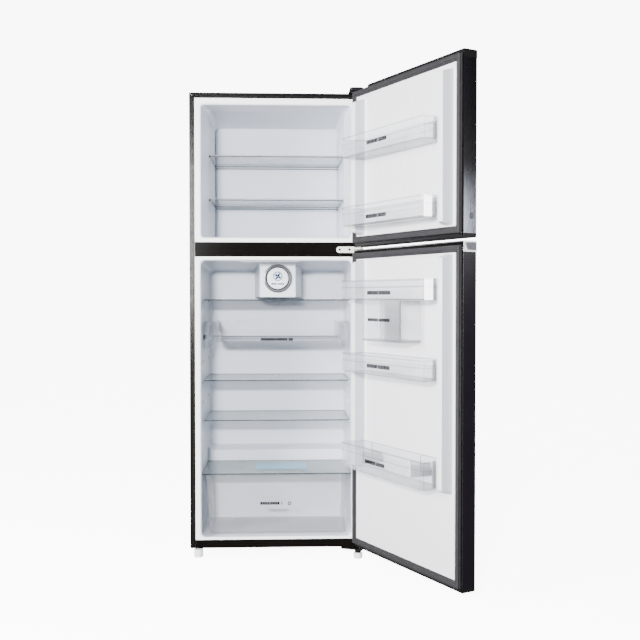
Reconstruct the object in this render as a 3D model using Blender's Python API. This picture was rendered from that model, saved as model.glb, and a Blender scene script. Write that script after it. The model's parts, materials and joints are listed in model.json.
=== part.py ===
"""Top freezer refrigerator, both doors standing open.

Cabinet coordinates: x to the right, y towards the back with 0 at the cabinet's front face, z up from
the floor. The datum empty sets the cabinet beside the world origin, so that the origin is under the
middle of the whole object while its doors are open. Door pieces are drawn as if the door were shut,
and hang from an empty on the hinge pin, which swings them open.
"""
import math

import bmesh
import bpy

# Cabinet
WIDTH = 0.600
DEPTH = 0.565
CABINET_BOTTOM = 0.038
CABINET_TOP = 1.616
SHEET = 0.001
FLANGE = 0.018
GAP = 0.0003
DATUM_X = -0.142

# Compartments: depth, half width, floor, ceiling and corner radius of each section, front to back
FREEZER_SPACE = (
    (0.000, 0.2630, 1.1140, 1.5787, 0.012),
    (0.088, 0.2405, 1.1215, 1.5690, 0.014),
    (0.455, 0.2385, 1.1235, 1.5670, 0.020),
    (0.470, 0.2285, 1.1335, 1.5570, 0.020),
)
FRIDGE_SPACE = (
    (0.000, 0.2650, 0.0725, 1.0426, 0.017),
    (0.303, 0.2630, 0.0745, 1.0215, 0.020),
    (0.308, 0.2630, 0.3300, 1.0212, 0.020),
    (0.372, 0.2610, 0.3320, 1.0165, 0.020),
    (0.385, 0.2510, 0.3420, 1.0065, 0.020),
)
LINER_THICKNESS = 0.002
LIP_HALF_WIDTH = 0.2815
FREEZER_LIP = (1.1018, 1.5975)
FRIDGE_LIP = (0.0660, 1.0520)

# Machine compartment, at the bottom of the back
MACHINE_FRONT = 0.365
MACHINE_TOP = 0.300

# Doors, as shut
DOOR_HALF_WIDTH = 0.299
DOOR_BACK = -0.013
DOOR_FRONT = -0.063
DOOR_OPEN_DEG = 117.2
HINGE_X = 0.289
HINGE_Y = -0.033
FREEZER_DOOR = (1.0840, 1.6236)
FRIDGE_DOOR = (0.0513, 1.0740)
CAP_HEIGHT = 0.012
HANDLE_HEIGHT = 0.033
GASKET_FRONT = -0.0012
GASKET_OUTER = 0.293
GASKET_INNER = 0.272
GASKET_INSET = 0.012
LINER_FACE = -0.007
DYKE_INNER = 0.218
DYKE_OUTER = 0.254
DYKE_TOP = 0.030
PIN_RADIUS = 0.004
PIN_CLEARANCE = 0.0005

# Door bins: the rear half fits between the dykes, the front half reaches over them
BIN_WALL = 0.002
BIN_REAR_HALF = 0.2165
BIN_FRONT_HALF = 0.232
BIN_BACK = LINER_FACE + 0.0006
BIN_SHOULDER = DYKE_TOP + 0.0008
BIN_FRONT = 0.082

# Shelves
SHELF_FRONT = 0.092
SHELF_BACK = 0.372
FREEZER_SHELF_BACK = 0.384
FREEZER_COVER_Y = 0.395

ARC_STEPS = 4


def material(name, colour, roughness, metallic=0.0, alpha=1.0):
    """A Principled material in the piece's own colour."""
    made = bpy.data.materials.new(name)
    made.use_nodes = True
    shader = made.node_tree.nodes["Principled BSDF"]
    shader.inputs["Base Color"].default_value = (*colour, 1.0)
    shader.inputs["Roughness"].default_value = roughness
    shader.inputs["Metallic"].default_value = metallic
    shader.inputs["Alpha"].default_value = alpha
    made.diffuse_color = (*colour, alpha)
    return made


def empty(name, location, parent=None, turn_deg=0.0):
    """An axis or datum that other pieces hang from."""
    made = bpy.data.objects.new(name, None)
    made.empty_display_size = 0.05
    made.location = location
    made.rotation_euler = (0.0, 0.0, math.radians(turn_deg))
    made.parent = parent
    bpy.context.scene.collection.objects.link(made)
    return made


def place(name, mesh_points, faces, look, parent, smooth=False):
    """Make one object from points and faces, with its normals pointing out."""
    mesh = bpy.data.meshes.new(name)
    mesh.from_pydata(mesh_points, [], faces)
    work = bmesh.new()
    work.from_mesh(mesh)
    bmesh.ops.recalc_face_normals(work, faces=work.faces)
    work.to_mesh(mesh)
    work.free()
    if smooth:
        mesh.shade_smooth()
        mesh.set_sharp_from_angle(angle=math.radians(35))
    if look:
        mesh.materials.append(look)
    made = bpy.data.objects.new(name, mesh)
    made.parent = parent
    if parent is not None and parent.name in PIVOTS:
        made.location = [-c for c in PIVOTS[parent.name]]
    bpy.context.scene.collection.objects.link(made)
    return made


def loft(name, rings, look, parent, smooth=False):
    """Join rings of equal length one after another, and close the first and the last."""
    count = len(rings[0])
    points = [p for ring in rings for p in ring]
    faces = [tuple(range(count)), tuple(range(len(points) - count, len(points)))]
    for start in range(0, len(points) - count, count):
        for i in range(count):
            j = (i + 1) % count
            faces.append((start + i, start + j, start + count + j, start + count + i))
    return place(name, points, faces, look, parent, smooth)


def lift(outline, axis, height):
    """Put a flat outline at a height along an axis: (u, v) is (y, z), (x, z) or (x, y)."""
    if axis == "x":
        return [(height, u, v) for u, v in outline]
    if axis == "y":
        return [(u, height, v) for u, v in outline]
    return [(u, v, height) for u, v in outline]


def prism(name, outline, axis, low, high, look, parent, smooth=False):
    """An outline pushed straight along an axis."""
    return loft(name, [lift(outline, axis, low), lift(outline, axis, high)], look, parent, smooth)


def block(name, low, high, look, parent):
    """A plain block between two corners."""
    outline = [(low[0], low[1]), (high[0], low[1]), (high[0], high[1]), (low[0], high[1])]
    return prism(name, outline, "z", low[2], high[2], look, parent)


def rounded(u0, u1, v0, v1, radius, steps=ARC_STEPS):
    """A rectangle with round corners, counter-clockwise."""
    centres = ((u1 - radius, v0 + radius, -90), (u1 - radius, v1 - radius, 0),
               (u0 + radius, v1 - radius, 90), (u0 + radius, v0 + radius, 180))
    points = []
    for u, v, start in centres:
        for i in range(steps + 1):
            angle = math.radians(start + 90 * i / steps)
            points.append((u + radius * math.cos(angle), v + radius * math.sin(angle)))
    return points


def circle(u, v, radius, sides):
    """Points round a circle."""
    turns = [2 * math.pi * i / sides for i in range(sides)]
    return [(u + radius * math.cos(a), v + radius * math.sin(a)) for a in turns]


def turned(name, centre, axis, profile, look, parent, sides=24):
    """A turned piece: each (radius, height) of the profile is a ring round the axis."""
    rings = [lift(circle(*centre, radius, sides), axis, height) for radius, height in profile]
    return loft(name, rings, look, parent, smooth=True)


def hollow(name, outline, axis, levels, look, parent):
    """A thin walled ring pushed along an axis: outline(inset) gives the outer and inner edges."""
    low, high, thickness = levels
    outer, inner = outline(0.0), outline(thickness)
    rings = [lift(outer, axis, low), lift(outer, axis, high),
             lift(inner, axis, high), lift(inner, axis, low)]
    count = len(outer)
    points = [p for ring in rings for p in ring]
    faces = []
    for k in range(4):
        start, following = k * count, (k + 1) % 4 * count
        for i in range(count):
            j = (i + 1) % count
            faces.append((start + i, start + j, following + j, following + i))
    return place(name, points, faces, look, parent)


def combine(target, tool, operation):
    """Cut a hidden tool from a piece, or join it on."""
    tool.hide_render = True
    tool.display_type = "WIRE"
    change = target.modifiers.new(tool.name, "BOOLEAN")
    change.operation = operation
    change.object = tool


def cut(target, tool):
    combine(target, tool, "DIFFERENCE")


def join(target, tool):
    combine(target, tool, "UNION")


def space_rings(sections, grow):
    """The walls of a compartment as rings from the mouth to the back, moved out by grow."""
    rings = []
    for y, half, low, high, radius in sections:
        outline = rounded(-half - grow, half + grow, low - grow, high + grow, radius + grow)
        rings.append(lift(outline, "y", y + grow))
    return rings


def liner(name, sections, lip, look, parent):
    """A formed white tub with a flat lip round its mouth."""
    edge = rounded(-LIP_HALF_WIDTH, LIP_HALF_WIDTH, *lip, 0.004)
    inside = space_rings(sections, 0.0)
    outside = space_rings(sections, LINER_THICKNESS)
    rings = inside[::-1] + [lift(edge, "y", 0.0), lift(edge, "y", LINER_THICKNESS)] + outside
    return loft(name, rings, look, parent)


def cavity_tool(name, sections, parent):
    """The room that a liner takes in the insulation."""
    rings = space_rings(sections, LINER_THICKNESS + GAP)
    front = [(x, -0.01, z) for x, y, z in rings[0]]
    return loft(name, [front] + rings, None, parent)


def make_outer_wrap(parent):
    """One bent sheet: two sides and the top, with a flange turned in round the front."""
    half = WIDTH / 2
    wrap = block("outer_wrap", (-half, 0, CABINET_BOTTOM), (half, DEPTH, CABINET_TOP), BLACK_STEEL, parent)
    inside = block("wrap_inside", (-half + SHEET, SHEET, 0), (half - SHEET, 1, CABINET_TOP - SHEET), None, parent)
    mouth = block("wrap_mouth", (-half + FLANGE, -1, 0), (half - FLANGE, 1, CABINET_TOP - FLANGE), None, parent)
    cut(wrap, inside)
    cut(wrap, mouth)


def make_insulation(parent):
    """Foam that fills the walls between the wrap and the two liners."""
    half = WIDTH / 2 - SHEET - GAP
    low = (-half, 0.004, CABINET_BOTTOM + 0.0035)
    high = (half, DEPTH - 0.0015, CABINET_TOP - SHEET - GAP)
    foam = block("insulation", low, high, FOAM, parent)
    cut(foam, cavity_tool("freezer_room", FREEZER_SPACE, parent))
    cut(foam, cavity_tool("fridge_room", FRIDGE_SPACE, parent))
    cut(foam, block("machine_room", (-1, MACHINE_FRONT, 0), (1, 1, MACHINE_TOP), None, parent))


def make_cabinet_shell(parent):
    """Wrap, back panel, foam, liners and the black rails of the front face."""
    make_outer_wrap(parent)
    make_insulation(parent)
    half = WIDTH / 2 - SHEET - GAP
    back = DEPTH - 0.0012
    block("rear_panel", (-half, back, MACHINE_TOP), (half, DEPTH, CABINET_TOP - 0.0015), GREY_STEEL, parent)
    liner("freezer_liner", FREEZER_SPACE, FREEZER_LIP, WHITE, parent)
    liner("fridge_liner", FRIDGE_SPACE, FRIDGE_LIP, WHITE, parent)
    edge = LIP_HALF_WIDTH
    rail_low, rail_high = FRIDGE_LIP[1] + GAP, FREEZER_LIP[0] - GAP
    block("centre_rail", (-edge, -0.0008, rail_low), (edge, 0.0035, rail_high), BLACK_STEEL, parent)
    floor = CABINET_BOTTOM + 0.0002
    block("bottom_rail", (-edge, -0.0008, floor), (edge, 0.0035, FRIDGE_LIP[0] - GAP), BLACK_STEEL, parent)


def make_base(parent):
    """Base pan with a hole for the left foot's stud and a bracket for each roller."""
    half = WIDTH / 2 - SHEET - GAP
    low = (-half, 0.004, CABINET_BOTTOM)
    pan = block("base_pan", low, (half, DEPTH - 0.002, CABINET_BOTTOM + 0.003), GREY_STEEL, parent)
    for side, name in ((-1, "left"), (1, "right")):
        join_roller_bracket(pan, side, name, parent)
    cut(pan, turned("left_foot_hole", LEFT_FOOT, "z", ((0.0055, 0.03), (0.0055, 0.05)), None, parent))


LEFT_FOOT = (-0.274, 0.030)
RIGHT_FOOT = (0.284, -0.007)
ROLLER_X = 0.240
ROLLER_Y = 0.520
ROLLER_RADIUS = 0.016


def make_foot(name, spot, collar, pivot):
    """Round levelling foot that turns on its stud, with a grooved rim."""
    profile = ((0.0140, 0.0), (0.0155, 0.002), (0.0155, 0.009), (0.0145, 0.010), (0.0145, 0.011),
               (0.0155, 0.012), (0.0155, collar - 0.002), (0.0130, collar), (0.0050, collar + GAP),
               (0.0050, CABINET_BOTTOM - 0.002))
    turned(name, spot, "z", profile, CLEAR_WHITE, pivot)


def make_roller(side, name, pivot):
    """Rear roller with stub axles."""
    x = side * ROLLER_X
    profile = ((0.003, x - 0.014), (0.003, x - 0.009), (ROLLER_RADIUS - 0.001, x - 0.009), (ROLLER_RADIUS, x - 0.008),
               (ROLLER_RADIUS, x + 0.008), (ROLLER_RADIUS - 0.001, x + 0.009), (0.003, x + 0.009), (0.003, x + 0.014))
    turned("roller_" + name, (ROLLER_Y, ROLLER_RADIUS), "x", profile, BLACK_PLASTIC, pivot)


def join_roller_bracket(pan, side, name, parent):
    """Two cheeks under the base pan that hold a roller's axle."""
    x = side * ROLLER_X
    outer, inner, top = 0.0135, 0.0110, CABINET_BOTTOM + 0.001
    outline = [(x - outer, 0.008), (x - inner, 0.008), (x - inner, CABINET_BOTTOM - 0.003),
               (x + inner, CABINET_BOTTOM - 0.003), (x + inner, 0.008), (x + outer, 0.008),
               (x + outer, top), (x - outer, top)]
    join(pan, prism("roller_bracket_" + name, outline, "y", ROLLER_Y - 0.012, ROLLER_Y + 0.012, None, parent))
    ends = ((0.0034, x - 0.03), (0.0034, x + 0.03))
    cut(pan, turned("axle_hole_" + name, (ROLLER_Y, ROLLER_RADIUS), "x", ends, None, parent))


def make_machine(parent):
    """Compressor, condenser coil and drain pan in the compartment at the back."""
    x, y, floor = 0.110, 0.462, CABINET_BOTTOM + 0.003 + GAP
    profile = ((0.088, floor), (0.088, floor + 0.006), (0.078, floor + 0.008), (0.080, floor + 0.060),
               (0.083, floor + 0.064), (0.083, floor + 0.072), (0.079, floor + 0.076), (0.076, floor + 0.120),
               (0.062, floor + 0.150), (0.035, floor + 0.166))
    turned("compressor", (x, y), "z", profile, BLACK_STEEL, parent, sides=28)
    pan_low = floor + 0.170
    steps = ((0.000, 0.000), (0.030, 0.006), (0.030, 0.004), (0.0025, -0.002))
    rings = [lift(rounded(x - 0.09 - g, x + 0.09 + g, y - 0.07 - g, y + 0.07 + g, 0.02 + g), "z", pan_low + h)
             for h, g in steps]
    loft("drain_pan", rings, BLACK_PLASTIC, parent)
    make_condenser(parent)


def make_condenser(parent):
    """Serpentine condenser tube that stands in the left of the compartment."""
    left, right, low, pitch, runs = -0.255, -0.045, 0.070, 0.032, 6
    radius = pitch / 2
    route = []
    for run in range(runs):
        z = low + run * pitch
        start, end = (left, right) if run % 2 == 0 else (right, left)
        route += [(start, z), (end, z)]
        if run == runs - 1:
            break
        way = 1 if run % 2 == 0 else -1
        for i in range(1, 6):
            angle = math.radians(-90 + 30 * i)
            route.append((end + way * radius * math.cos(angle), z + radius + radius * math.sin(angle)))
    curve = bpy.data.curves.new("condenser_coil", "CURVE")
    curve.dimensions = "3D"
    curve.bevel_depth = 0.0032
    curve.bevel_resolution = 1
    curve.use_fill_caps = True
    spline = curve.splines.new("POLY")
    spline.points.add(len(route) - 1)
    for point, (x, z) in zip(spline.points, route):
        point.co = (x, 0.462, z, 1.0)
    curve.materials.append(BLACK_STEEL)
    made = bpy.data.objects.new("condenser_coil", curve)
    made.parent = parent
    bpy.context.scene.collection.objects.link(made)


def make_cooling(parent, fan_pivot):
    """Evaporator, its fan and motor, and the cover that hides them at the freezer's back."""
    low, high, fins = 1.150, 1.330, 22
    left, right, root = -0.190, 0.190, 0.012
    pitch = (right - left) / fins
    outline = [(left, 0.412), (left, 0.458)]
    for i in range(fins):
        start = left + i * pitch
        outline += [(start + pitch * 0.3, 0.458), (start + pitch * 0.3, 0.412 + root),
                    (start + pitch * 0.98, 0.412 + root), (start + pitch * 0.98, 0.458)]
    outline += [(right, 0.458), (right, 0.412)]
    prism("evaporator", outline, "z", low, high, ALUMINIUM, parent)
    cover_half = 0.2365
    cover = rounded(-cover_half, cover_half, 1.1265, 1.5560, 0.012)
    prism("freezer_rear_cover", cover, "y", FREEZER_COVER_Y, FREEZER_COVER_Y + 0.004, WHITE, parent)
    make_fan("freezer_fan", (0.0, 1.450), 0.046, (0.412, 0.430), fan_pivot)
    motor = ((0.024, 0.4305), (0.026, 0.433), (0.026, 0.452), (0.020, 0.456))
    turned("freezer_fan_motor", (0.0, 1.450), "y", motor, BLACK_PLASTIC, parent)


def make_fan(name, centre, radius, span, pivot):
    """Five bladed fan, its blades twisted along the axis."""
    blades, layers, twist = 5, 4, math.radians(28)
    hub = radius * 0.34
    rings = []
    for layer in range(layers):
        share = layer / (layers - 1)
        ring = []
        for blade in range(blades):
            middle = 2 * math.pi * blade / blades + twist * share
            for offset, reach in ((-0.30, hub), (-0.10, radius * 0.72), (-0.02, radius), (0.18, radius),
                                  (0.16, radius * 0.68), (0.12, hub)):
                angle = middle + offset
                ring.append((centre[0] + reach * math.cos(angle), centre[1] + reach * math.sin(angle)))
        rings.append(lift(ring, "y", span[0] + share * (span[1] - span[0])))
    loft(name, rings, WHITE, pivot)


TOWER_X = 0.0045
TOWER_FRONT = 0.110
FAN_Z = 0.9790


def tower_outline(inset, back):
    """The air tower seen from above: its sides splay towards the back wall."""
    front, rear = 0.0630 - inset, 0.0905 - inset
    return [(TOWER_X - front, TOWER_FRONT + inset), (TOWER_X + front, TOWER_FRONT + inset),
            (TOWER_X + rear, back), (TOWER_X - rear, back)]


def make_air_tower(parent, fan_pivot):
    """Box that hangs from the fridge ceiling, with a fan behind a round cover and a ring."""
    low, high, back = 0.9120, 1.0110, 0.3710
    outline = tower_outline(0.0, back)
    under_ceiling = [(x, y, 1.0416 - 0.0696 * y) for x, y in outline]
    tower = loft("air_tower", [lift(outline, "z", low), under_ceiling], WHITE, parent)
    cut(tower, prism("tower_inside", tower_outline(0.003, 0.5), "z", low + 0.003, high - 0.003, None, parent))
    reach = ((0.0420, TOWER_FRONT - 0.05), (0.0420, TOWER_FRONT + 0.05))
    cut(tower, turned("tower_mouth", (TOWER_X, FAN_Z), "y", reach, None, parent, sides=32))
    make_fan("fridge_fan", (TOWER_X, FAN_Z), 0.034, (TOWER_FRONT + 0.025, TOWER_FRONT + 0.041), fan_pivot)
    motor = [(radius, TOWER_FRONT + along)
             for radius, along in ((0.016, 0.0415), (0.018, 0.044), (0.018, 0.062), (0.014, 0.066))]
    turned("fridge_fan_motor", (TOWER_X, FAN_Z), "y", motor, BLACK_PLASTIC, parent)
    face = TOWER_FRONT - GAP
    sides = 32
    profile = ((0.0420, face), (0.0420, face - 0.005), (0.0435, face - 0.0075), (0.0465, face - 0.0075),
               (0.0480, face - 0.005), (0.0480, face))
    rings = [lift(circle(TOWER_X, FAN_Z, radius, sides), "y", y) for radius, y in profile]
    points = [p for ring in rings for p in ring]
    faces = []
    for k in range(len(rings)):
        start, following = k * sides, (k + 1) % len(rings) * sides
        faces += [(start + i, start + (i + 1) % sides, following + (i + 1) % sides, following + i)
                  for i in range(sides)]
    place("fan_ring", points, faces, SILVER, parent, smooth=True)
    disc = [(radius, TOWER_FRONT + along)
            for radius, along in ((0.0372, 0.0), (0.0385, -0.0015), (0.0385, -0.0090), (0.0367, -0.0105))]
    cover = turned("fan_cover", (TOWER_X, FAN_Z), "y", disc, WHITE, parent, sides=32)
    for arm in range(3):
        angle = math.radians(90 + 120 * arm)
        along, across = (math.cos(angle), math.sin(angle)), (-math.sin(angle), math.cos(angle))
        corners = [(TOWER_X + along[0] * a + across[0] * b, FAN_Z + along[1] * a + across[1] * b)
                   for a, b in ((0.030, -0.003), (0.0415, -0.003), (0.0415, 0.003), (0.030, 0.003))]
        join(cover, prism("cover_arm_%d" % arm, corners, "y", TOWER_FRONT - 0.0055, TOWER_FRONT - 0.0020, None,
                         parent))


def make_lamp(parent):
    """Clear cover of the lamp strip in the fridge ceiling."""
    outline = rounded(-0.127, 0.082, 0.012, 0.042, 0.010)
    prism("lamp_cover", outline, "z", 1.0325, 1.0375, CLEAR_WHITE, parent)


def make_shelves(parent):
    """Freezer shelves, glass fridge shelves and the cover over the crisper."""
    half = 0.2375
    freezer = (("freezer_shelf_upper", 1.4115, 0.0130), ("freezer_shelf_lower", 1.2570, 0.0100))
    for name, low, thickness in freezer:
        block(name, (-half, SHELF_FRONT, low), (half, FREEZER_SHELF_BACK, low + thickness), CLEAR, parent)
    glass_half = 0.2590
    fridge = (("fridge_shelf_top", 0.9040), ("fridge_shelf_middle", 0.6160), ("fridge_shelf_lower", 0.4730))
    for name, top in fridge:
        block(name, (-glass_half, SHELF_FRONT, top - 0.0045), (glass_half, SHELF_BACK, top), CLEAR, parent)
    block("crisper_cover", (-0.2615, 0.032, 0.2875), (0.2615, 0.298, 0.2920), CLEAR, parent)


TRAY_TOP = 0.8255
TRAY_RAIL_INNER = 0.2255


def make_tray(parent, pivot):
    """Shallow tray whose rim slides on a rail on each wall."""
    rail_top = TRAY_TOP - 0.0035 - GAP
    for name, side in (("tray_rail_left", -1), ("tray_rail_right", 1)):
        edges = sorted((side * TRAY_RAIL_INNER, side * 0.2585))
        block(name, (edges[0], 0.115, 0.7260), (edges[1], 0.350, rail_top), WHITE, parent)
    front, back, low = 0.095, 0.345, 0.7520
    body = (TRAY_RAIL_INNER - 0.0015, 0.2440)

    def ring(half, inset, z):
        return lift(rounded(-half, half, front + inset, back - inset, 0.012), "z", z)

    wall = 0.0025
    rings = [ring(body[0] - 0.004, 0.004, low), ring(body[0], 0.0, low + 0.010),
             ring(body[0], 0.0, TRAY_TOP - 0.0035), ring(body[1], 0.0, TRAY_TOP - 0.0035),
             ring(body[1], 0.0, TRAY_TOP), ring(body[0] - wall, wall, TRAY_TOP),
             ring(body[0] - wall, wall, low + 0.010), ring(body[0] - 0.006, 0.006, low + wall)]
    loft("sliding_tray", rings, CLEAR, pivot)


def make_crisper(pivot):
    """Deep clear drawer on the fridge floor, under its glass cover."""
    front, back, low, high = 0.042, 0.292, 0.0765, 0.2840

    def ring(half, inset, z):
        return lift(rounded(-half, half, front + inset, back - inset, 0.014), "z", z)

    rings = [ring(0.2440, 0.008, low), ring(0.2460, 0.003, low + 0.010), ring(0.2500, 0.001, high - 0.012),
             ring(0.2530, 0.0, high - 0.010), ring(0.2530, 0.0, high), ring(0.2475, 0.0035, high),
             ring(0.2435, 0.0060, low + 0.010), ring(0.2415, 0.0110, low + 0.003)]
    loft("crisper_drawer", rings, CLEAR, pivot)


def hinge_pin(name, low, high, extra, parent):
    """A tool on the hinge axis, for a pin or for the hole that it turns in."""
    radius = PIN_RADIUS + extra
    return turned(name, (HINGE_X, HINGE_Y), "z", ((radius, low), (radius, high)), None, parent, sides=16)


def arm_outline(left, back):
    """A hinge leaf seen from above: straight from the cabinet, round about the pin."""
    radius = 0.0095
    turn = [math.radians(-180 + 30 * i) for i in range(7)]
    nose = [(HINGE_X + radius * math.cos(a), HINGE_Y + radius * math.sin(a)) for a in turn]
    return [(left, back), (left, -0.012)] + nose + [(HINGE_X + radius, back)]


def make_hinges(parent):
    """Top, middle and bottom hinge brackets, fixed to the cabinet."""
    top_low = CABINET_TOP + GAP
    top = prism("top_hinge", arm_outline(0.257, 0.075), "z", top_low, top_low + 0.003, GREY_STEEL, parent)
    join(top, hinge_pin("top_pin", 1.6000, top_low + 0.001, 0.0, parent))
    cover_low = top_low + 0.003 + GAP
    outer = rounded(0.2530, 0.2985, -0.0440, 0.092, 0.008)
    upper = rounded(0.2570, 0.2945, -0.0400, 0.088, 0.006)
    cover = loft("top_hinge_cover", [lift(outer, "z", cover_low), lift(outer, "z", cover_low + 0.008),
                                     lift(upper, "z", 1.6300)], BLACK_PLASTIC, parent)
    cut(cover, block("cover_inside", (0.2590, -0.037, 1.60), (0.2925, 0.085, 1.6275), None, parent))
    plate = prism("middle_hinge", rounded(0.208, 0.2985, 1.0655, 1.0870, 0.0105), "y",
                  -0.0042, -0.0012, IVORY, parent)
    join(plate, prism("middle_arm", arm_outline(0.262, -0.003), "z", 1.0770, 1.0810, None, parent))
    join(plate, hinge_pin("middle_pin", 1.0660, 1.0920, 0.0, parent))
    for index, x in enumerate((0.2195, 0.2533)):
        head = ((0.0040, -0.0045), (0.0040, -0.0058), (0.0028, -0.0066))
        turned("hinge_screw_%d" % (index + 1), (x, 1.0768), "y", head, SILVER, parent, sides=16)
    bottom_high = CABINET_BOTTOM - GAP
    bottom = prism("bottom_hinge", arm_outline(0.225, 0.080), "z", bottom_high - 0.004, bottom_high,
                   BLACK_STEEL, parent)
    join(bottom, hinge_pin("bottom_pin", bottom_high - 0.002, 0.0600, 0.0, parent))
    collar = ((0.0115, 0.0215), (0.0115, bottom_high - 0.003))
    join(bottom, turned("foot_collar", RIGHT_FOOT, "z", collar, None, parent))
    bore = ((0.0054, 0.010), (0.0054, CABINET_BOTTOM - 0.001))
    cut(bottom, turned("right_foot_hole", RIGHT_FOOT, "z", bore, None, parent))


def skin_outline():
    """Door skin seen from above: a channel with round front edges, open to the back."""
    half, radius, steps = DOOR_HALF_WIDTH, 0.005, 4
    outer, inner = [], []
    for side in (-1, 1):
        arc = [math.radians(90 * i / steps) for i in range(steps + 1)]
        for ring, thick in ((outer, 0.0), (inner, SHEET)):
            bend = radius - thick
            corner = [(side * (half - radius + bend * math.cos(a)), DOOR_FRONT + radius - bend * math.sin(a))
                      for a in arc]
            ring += corner if side < 0 else corner[::-1]
    back = DOOR_BACK - 0.0005
    left = [(-half, back)] + outer + [(half, back)]
    right = [(half - SHEET, back)] + inner[::-1] + [(-half + SHEET, back)]
    return left + right


def door_end(name, low, high, look, pivot):
    """End cap of a door, the full thickness, with round front edges."""
    half = DOOR_HALF_WIDTH
    radius, steps = 0.005, 4
    points = [(half, DOOR_BACK), (-half, DOOR_BACK)]
    for side, start in ((-1, 180), (1, 270)):
        for i in range(steps + 1):
            angle = math.radians(start + 90 * i / steps)
            points.append((side * (half - radius) + radius * math.cos(angle),
                           DOOR_FRONT + radius + radius * math.sin(angle)))
    return prism(name, points, "z", low, high, look, pivot)


def make_door_body(prefix, skin_span, dyke_span, door_span, pivot):
    """Skin, foam core, inner liner with its two dykes, and gasket of one door."""
    prism(prefix + "_skin", skin_outline(), "z", *skin_span, BLACK_GLASS, pivot)
    inside = DOOR_HALF_WIDTH - SHEET - GAP
    core_low = (-inside, DOOR_FRONT + 0.0055, skin_span[0])
    block(prefix + "_core", core_low, (inside, DOOR_BACK - 0.0005, skin_span[1]), FOAM, pivot)
    low, high = door_span[0] + GASKET_INSET, door_span[1] - GASKET_INSET
    rim = GASKET_OUTER - GASKET_INNER
    edge = GASKET_INNER - GAP
    panel = prism(prefix + "_liner", rounded(-edge, edge, low + rim + GAP, high - rim - GAP, 0.006),
                  "y", DOOR_BACK + GAP, LINER_FACE, WHITE, pivot)
    for name, side in (("hinge", 1), ("free", -1)):
        rings = []
        for y, draft in ((LINER_FACE - 0.003, 0.0), (DYKE_TOP - 0.005, 0.003), (DYKE_TOP, 0.008)):
            edges = sorted((side * (DYKE_INNER + draft), side * (DYKE_OUTER - draft)))
            rings.append(lift(rounded(*edges, dyke_span[0] + draft, dyke_span[1] - draft, 0.006), "y", y))
        join(panel, loft(prefix + "_dyke_" + name, rings, None, pivot))

    def gasket_edge(inset):
        return rounded(-GASKET_OUTER + inset, GASKET_OUTER - inset, low + inset, high - inset, 0.005)

    hollow(prefix + "_gasket", gasket_edge, "y", (DOOR_BACK + GAP, GASKET_FRONT, rim), RUBBER, pivot)


def bin_outline(inset):
    """A door bin seen from above: narrow between the dykes, wide in front of them."""
    front = rounded(-BIN_FRONT_HALF + inset, BIN_FRONT_HALF - inset, -BIN_FRONT + inset, 0.0, 0.014)
    rounded_front = [(x, -y) for x, y in front if y < -BIN_SHOULDER - 0.02]
    rounded_front.sort(key=lambda p: p[0])
    rear, shoulder = BIN_REAR_HALF - inset, BIN_SHOULDER + inset
    return ([(rear, BIN_BACK + inset), (rear, shoulder), (BIN_FRONT_HALF - inset, shoulder)]
            + rounded_front[::-1]
            + [(-BIN_FRONT_HALF + inset, shoulder), (-rear, shoulder), (-rear, BIN_BACK + inset)])


def make_bin(name, low, high, pivot):
    """Clear moulded bin that hangs between the dykes."""
    rings = [lift(bin_outline(0.003), "z", low), lift(bin_outline(0.0), "z", low + 0.006),
             lift(bin_outline(0.0), "z", high), lift(bin_outline(BIN_WALL), "z", high),
             lift(bin_outline(BIN_WALL), "z", low + 0.006), lift(bin_outline(0.005), "z", low + BIN_WALL)]
    return loft(name, rings, CLEAR, pivot)


def make_freezer_door(door, lock_pivot, bins):
    """Freezer door: caps, body, lock and two bins."""
    low, high = FREEZER_DOOR
    step, hinge_top = 0.215, 1.6090
    cap_low = high - CAP_HEIGHT - 0.0115
    make_door_body("freezer_door", (low + CAP_HEIGHT + GAP, cap_low - GAP), (1.1190, 1.5760), FREEZER_DOOR, door)
    top = door_end("freezer_door_top_cap", cap_low, high, BLACK_PLASTIC, door)
    cut(top, block("cap_step", (step, -1, hinge_top), (1, 1, 2), None, door))
    cut(top, hinge_pin("top_pin_hole", 1.5950, 1.70, PIN_CLEARANCE, door))
    bottom = door_end("freezer_door_bottom_cap", low, low + CAP_HEIGHT, BLACK_PLASTIC, door)
    cut(bottom, hinge_pin("freezer_foot_hole", 1.0, low + 0.0100, PIN_CLEARANCE, door))
    face = -DOOR_HALF_WIDTH - GAP
    profile = ((0.0088, face), (0.0088, face - 0.0010), (0.0078, face - 0.0025))
    lock = turned("lock_cylinder", LOCK_SPOT, "x", profile, SILVER, lock_pivot)
    y, z = LOCK_SPOT
    cut(lock, block("keyway", (face - 0.01, y - 0.0008, z - 0.0035), (face - 0.0012, y + 0.0008, z + 0.0035),
                    None, lock_pivot))
    make_bin("freezer_bin_upper", 1.3700, 1.4360, bins[0])
    make_bin("freezer_bin_lower", 1.1440, 1.2080, bins[1])


LOCK_SPOT = (-0.0440, 1.1460)
CARE_BOX = (-0.115, 0.104)


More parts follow.
